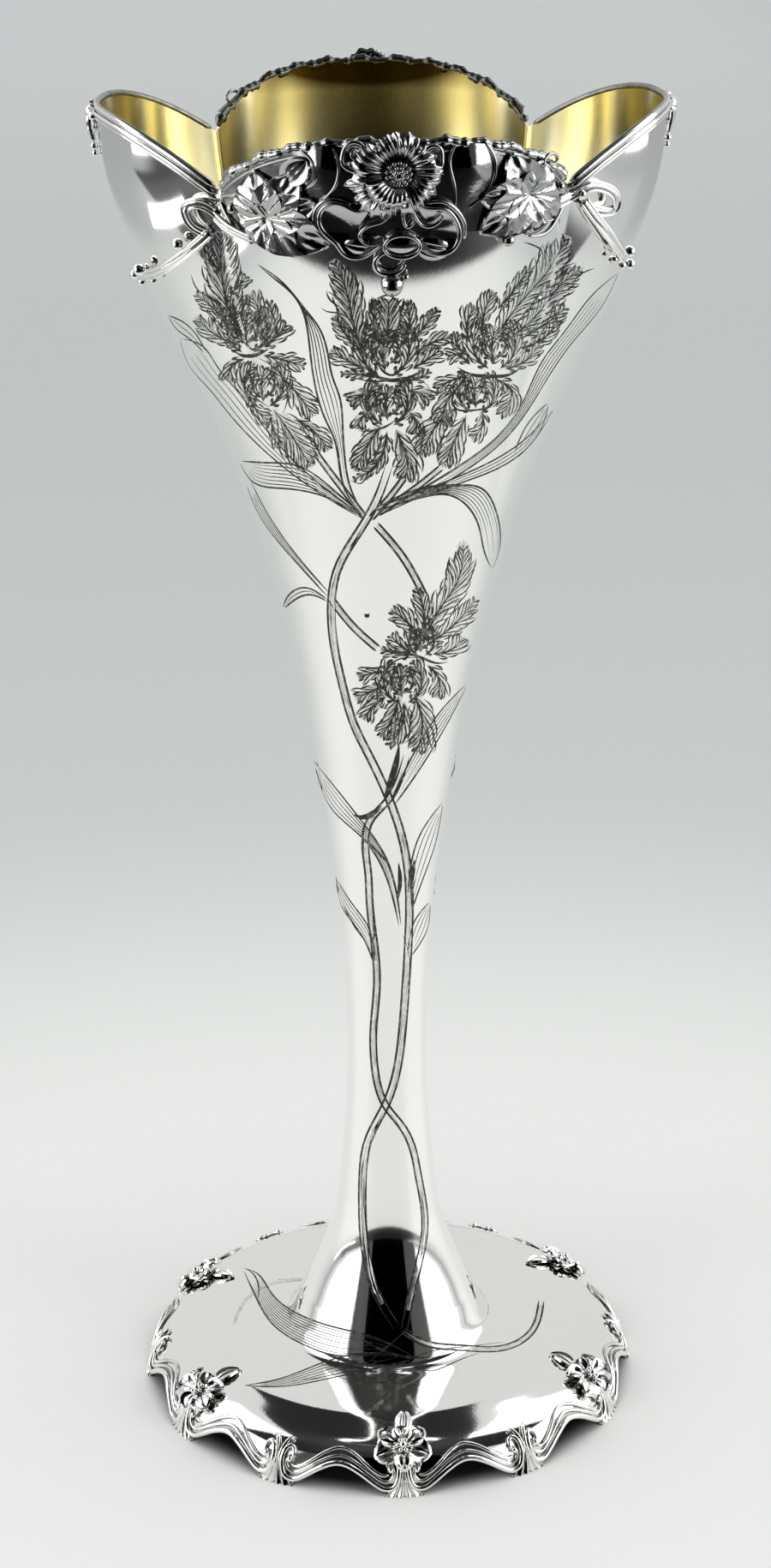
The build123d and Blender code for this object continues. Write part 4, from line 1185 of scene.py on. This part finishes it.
engrave("stems", lines=[
    (8, 412, 950, 422, 954, 434, 950, 446, 940), (6, 426, 716, 428, 719, 431, 716),
    (9, 466, 868, 462, 892, 456, 912, 448, 934), (8, 478, 1042, 481, 1022, 484, 1002),
    (4, 412, 968, 430, 984, 446, 1000, 454, 1010), (6, 464, 1052, 467, 1028, 465, 1006),
    (5, 400, 1056, 410, 1074, 424, 1096), (4, 482, 1066, 480, 1046, 486, 1024), (2, 470, 1090, 478, 1120, 474, 1160),
    (3.5, 434, 1066, 437, 1085, 436, 1100)], stems=[
    (8, 455, 540, 428, 607, 400, 650, 387, 700, 388, 740, 400, 800, 415, 850, 445, 910, 455, 935, 470, 980, 478, 1060,
     475, 1130, 470, 1200, 465, 1240, 450, 1290, 430, 1330, 423, 1390, 425, 1450, 440, 1510, 465, 1552),
    (7, 475, 880, 452, 935, 427, 968, 428, 1000, 432, 1060, 438, 1110, 440, 1150, 436, 1200, 438, 1250, 450, 1290,
     473, 1320, 488, 1370, 496, 1430, 490, 1470, 478, 1520, 472, 1552),
    (7, 385, 697, 412, 731, 442, 758), (7, 438, 612, 470, 650, 496, 697), (6, 368, 528, 398, 568, 426, 604),
    (6, 473, 556, 455, 580, 432, 606), (6, 516, 545, 482, 572, 440, 600)], leaves=[
    (4, (300, 308, 320, 325, 340, 342, 352, 360, 358, 380, 362, 410, 370, 460, 380, 490, 390, 512, 402, 570, 424, 602),
     (300, 308, 330, 330, 357, 362, 372, 382, 383, 415, 388, 440, 396, 462, 400, 500, 402, 530, 410, 572, 426, 602)),
    (3, (210, 395, 220, 425, 245, 455, 265, 480, 290, 508, 345, 556, 424, 606),
     (210, 395, 235, 403, 255, 430, 276, 455, 300, 487, 345, 540, 426, 604)),
    (1, (196, 368, 206, 384, 222, 396, 238, 412), (196, 368, 214, 376, 230, 392, 240, 410)),
    (6, (280, 538, 310, 540, 345, 543, 385, 568, 424, 602), (280, 540, 296, 563, 330, 570, 380, 580, 424, 604)),
    (3, (288, 566, 296, 588, 340, 650, 383, 697), (292, 560, 308, 592, 352, 655, 384, 692)),
    (1, (330, 712, 336, 696, 352, 686, 382, 700), (330, 712, 344, 700, 360, 694, 382, 702)),
    (4, (722, 318, 690, 346, 660, 386, 634, 420, 610, 470, 578, 512, 540, 541, 440, 600),
     (722, 318, 706, 352, 668, 400, 640, 440, 618, 476, 590, 512, 545, 548, 442, 602)),
    (2, (646, 478, 610, 515, 582, 534, 545, 552, 440, 592), (646, 478, 618, 520, 590, 542, 548, 560, 442, 596)),
    (6, (440, 592, 500, 568, 535, 566, 562, 570, 580, 600, 583, 640, 575, 664),
     (440, 596, 495, 580, 525, 578, 545, 590, 560, 618, 566, 646, 574, 664)),
    (4, (545, 798, 516, 828, 494, 860, 470, 905, 455, 938), (545, 800, 532, 826, 512, 862, 485, 905, 460, 940)),
    (4, (366, 888, 392, 920, 425, 962, 450, 1000, 468, 1080), (368, 896, 388, 945, 420, 975, 446, 1012, 466, 1082)),
    (3, (392, 1022, 400, 1060, 420, 1088, 437, 1126), (392, 1024, 412, 1056, 430, 1082, 438, 1124)),
    (3, (517, 936, 490, 975, 478, 1020, 474, 1064), (517, 938, 508, 985, 494, 1025, 478, 1070)),
    (3, (502, 1052, 484, 1075, 476, 1112), (502, 1054, 500, 1080, 480, 1116)),
    (2, (640, 470, 618, 492, 600, 530), (640, 472, 632, 500, 604, 534))])

engrave("foot_leaves", lines=[
    (2.4, 283, 1479, 295, 1486, 302, 1502, 300, 1520), (3, 430, 1590, 452, 1572, 470, 1556, 474, 1552),
    (2.2, 470, 1585, 500, 1600, 530, 1590, 562, 1578), (1.6, 455, 1600, 500, 1578, 540, 1572, 590, 1566),
    (1.6, 340, 1612, 400, 1602, 440, 1590, 480, 1580), (3.2, 418, 1560, 452, 1578, 480, 1584, 510, 1584)], stems=[
    (6, 470, 1552, 490, 1565, 540, 1573, 595, 1571, 622, 1552, 632, 1517)], leaves=[
    (9, (284, 1480, 300, 1486, 316, 1508, 345, 1532, 395, 1550, 440, 1562, 480, 1582),
     (284, 1482, 297, 1510, 318, 1545, 352, 1568, 395, 1582, 440, 1580, 480, 1586)),
    (5, (285, 1617, 330, 1608, 372, 1592, 420, 1580, 478, 1584),
     (285, 1617, 330, 1618, 378, 1610, 425, 1600, 478, 1588))], copies=False)


# Floor, cards and lights, in metres
def stage_plane(name, corners, material, camera_ray=True, glossy=True):
    """Plane of the studio, through four corners in turn."""
    deselect()
    bpy.ops.mesh.primitive_plane_add(size=2)
    obj = bpy.context.object
    set_vertices(obj, np.array([corners[0], corners[1], corners[3], corners[2]], float))
    obj.name = name
    obj.data.materials.append(material)
    obj.visible_camera, obj.visible_glossy = camera_ray, glossy
    if not camera_ray:
        obj.visible_diffuse = obj.visible_shadow = obj.visible_transmission = False


def softbox(name, place, aim, width, height, power):
    """Lamp aimed at a point."""
    data = bpy.data.lights.new(name, "AREA")
    data.shape = "RECTANGLE"
    data.size, data.size_y, data.energy = width, height, power
    obj = bpy.data.objects.new(name, data)
    bpy.context.scene.collection.objects.link(obj)
    obj.location = place
    obj.rotation_euler = (Vector(aim) - Vector(place)).to_track_quat("-Z", "Y").to_euler()
    return obj


def floor_material(name, mirrored):
    """Pale sweep, pale round the vase and greyer further off as painted light and shade, with a painted shadow dark
    under the vase. The mirrored one ends at the table's front edge, painted near black beyond it as darkness, with
    painted shade at its sides.
    """
    paint = Paint(name, roughness=0.55)
    spot = paint.node("ShaderNodeMapping", inputs={"Vector": paint.place(), "Location": (0, 0.2, 0)})
    reach, under = paint.length(spot), paint.length(paint.place())

    def fade(value, low, high):
        return paint.node("ShaderNodeMapRange", {"interpolation_type": "SMOOTHSTEP"},
                          {"Value": value, "From Min": low, "From Max": high})
    # Painted light and shade: pale round the vase, greyest near 0.9 m off, paler again far off
    far = paint.blend(fade(reach, 0.9, 4.5), (0.61, 0.635, 0.62, 1), (0.8, 0.82, 0.815, 1))
    colour = paint.blend(fade(reach, 0.36, 0.86), (0.84, 0.84, 0.83, 1), far)
    # Painted shadow: near black under the foot, fading out just past its edge
    colour = paint.blend(fade(under, 0.087, 0.101), (0.02, 0.02, 0.02, 1), colour)
    if mirrored:
        x, y, _ = paint.axes()
        front = fade(y - x * x * 0.38, -0.53, -0.48)
        right = fade(x, 0.85, 1.05)
        left = fade(x * -1.0, 1.6, 1.75) * fade(y, -0.2, 0.4)
        open_floor = paint.clamp(front + right + left)
        # Painted shade: greyer towards the sides of the mirrored floor
        colour = paint.blend(fade(x * x, 0.45, 1.0), colour, (0.45, 0.47, 0.47, 1))
        # Painted darkness past the table's edges: near black where the mirrored floor is open
        colour = paint.blend(open_floor, (0.004, 0.006, 0.007, 1), colour)
    paint.set(base_color=colour)
    return paint.material


def card(name, grey, glow=0.0):
    """Matt card that only the reflections show."""
    paint = Paint(name, base_color=(grey, grey, grey, 1), roughness=1.0, specular_ior_level=0.0)
    if glow:
        paint.set(emission_color=(1, 1, 1, 1), emission_strength=glow)
    return paint.material


def level(x0, y0, x1, y1, z):
    return (x0, y0, z), (x1, y0, z), (x1, y1, z), (x0, y1, z)


def upright(x0, y0, x1, y1, low, high):
    return (x0, y0, low), (x1, y1, low), (x1, y1, high), (x0, y0, high)


FAR = 12.0
FRONT, ABOVE, SIDES = -1.5, 2.2, 1.62  # where the cards stand
floor_corners = (-FAR, -FAR), (FAR, -FAR), (FAR, FAR), (-FAR, FAR)
stage_plane("floor", [(*c, 0) for c in floor_corners], floor_material("floor", False), glossy=False)
stage_plane("floor_mirrored", [(*c, 0.0001) for c in floor_corners], floor_material("floor_mirrored", True),
            camera_ray=False)
black, dim, grey = card("card_black", 0.0), card("card_dim", 0.035), card("card_grey", 0.1)
white = card("card_white", 0.8, 1.5)
for name, material, corners in (
        ("card_front", black, upright(-0.95, FRONT, 0.75, FRONT, -0.1, 2.4)),
        ("card_front_left", grey, upright(-1.75, FRONT, -0.95, FRONT, -0.1, 2.4)),
        ("card_front_right", grey, upright(0.75, FRONT, 1.6, FRONT, -0.1, 2.4)),
        ("card_left", white, upright(-SIDES, 0.5, -SIDES, -1.3, 0.1, 1.4)),
        ("card_right", white, upright(SIDES, -1.4, SIDES, 0.9, 0.1, 1.4)),
        ("card_above", dim, ((-0.95, 0, ABOVE), (0.75, 0, ABOVE), (0.45, 2.2, ABOVE), (-0.55, 2.2, ABOVE))),
        ("card_above_front", dim, level(-2.4, FRONT, 2.4, 0, ABOVE)),
        ("card_above_left", white, level(-2.6, 0.1, -0.95, 1.5, ABOVE)),
        ("card_above_right", white, level(0.75, 0.1, 2.4, 1.5, ABOVE)),
        ("card_table", white, level(-1.2, -0.45, -0.98, 0.25, 0.0003))):
    stage_plane(name, corners, material, camera_ray=False)

world = bpy.data.worlds.new("studio")
bpy.context.scene.world = world
world.use_nodes = True
surround = world.node_tree.nodes["Background"].inputs
surround["Color"].default_value = (0.98, 0.99, 0.99, 1)
surround["Strength"].default_value = 0.75
softbox("top_light", (0, -0.1, 2.3), (0, 0, 0), 1.6, 1.2, 13)
for side, x in (("left", -1.7), ("right", 1.7)):
    softbox(f"{side}_light", (x, -1.1, 0.9), (0, 0, 0.3), 0.7, 1.3, 5.5).visible_glossy = False
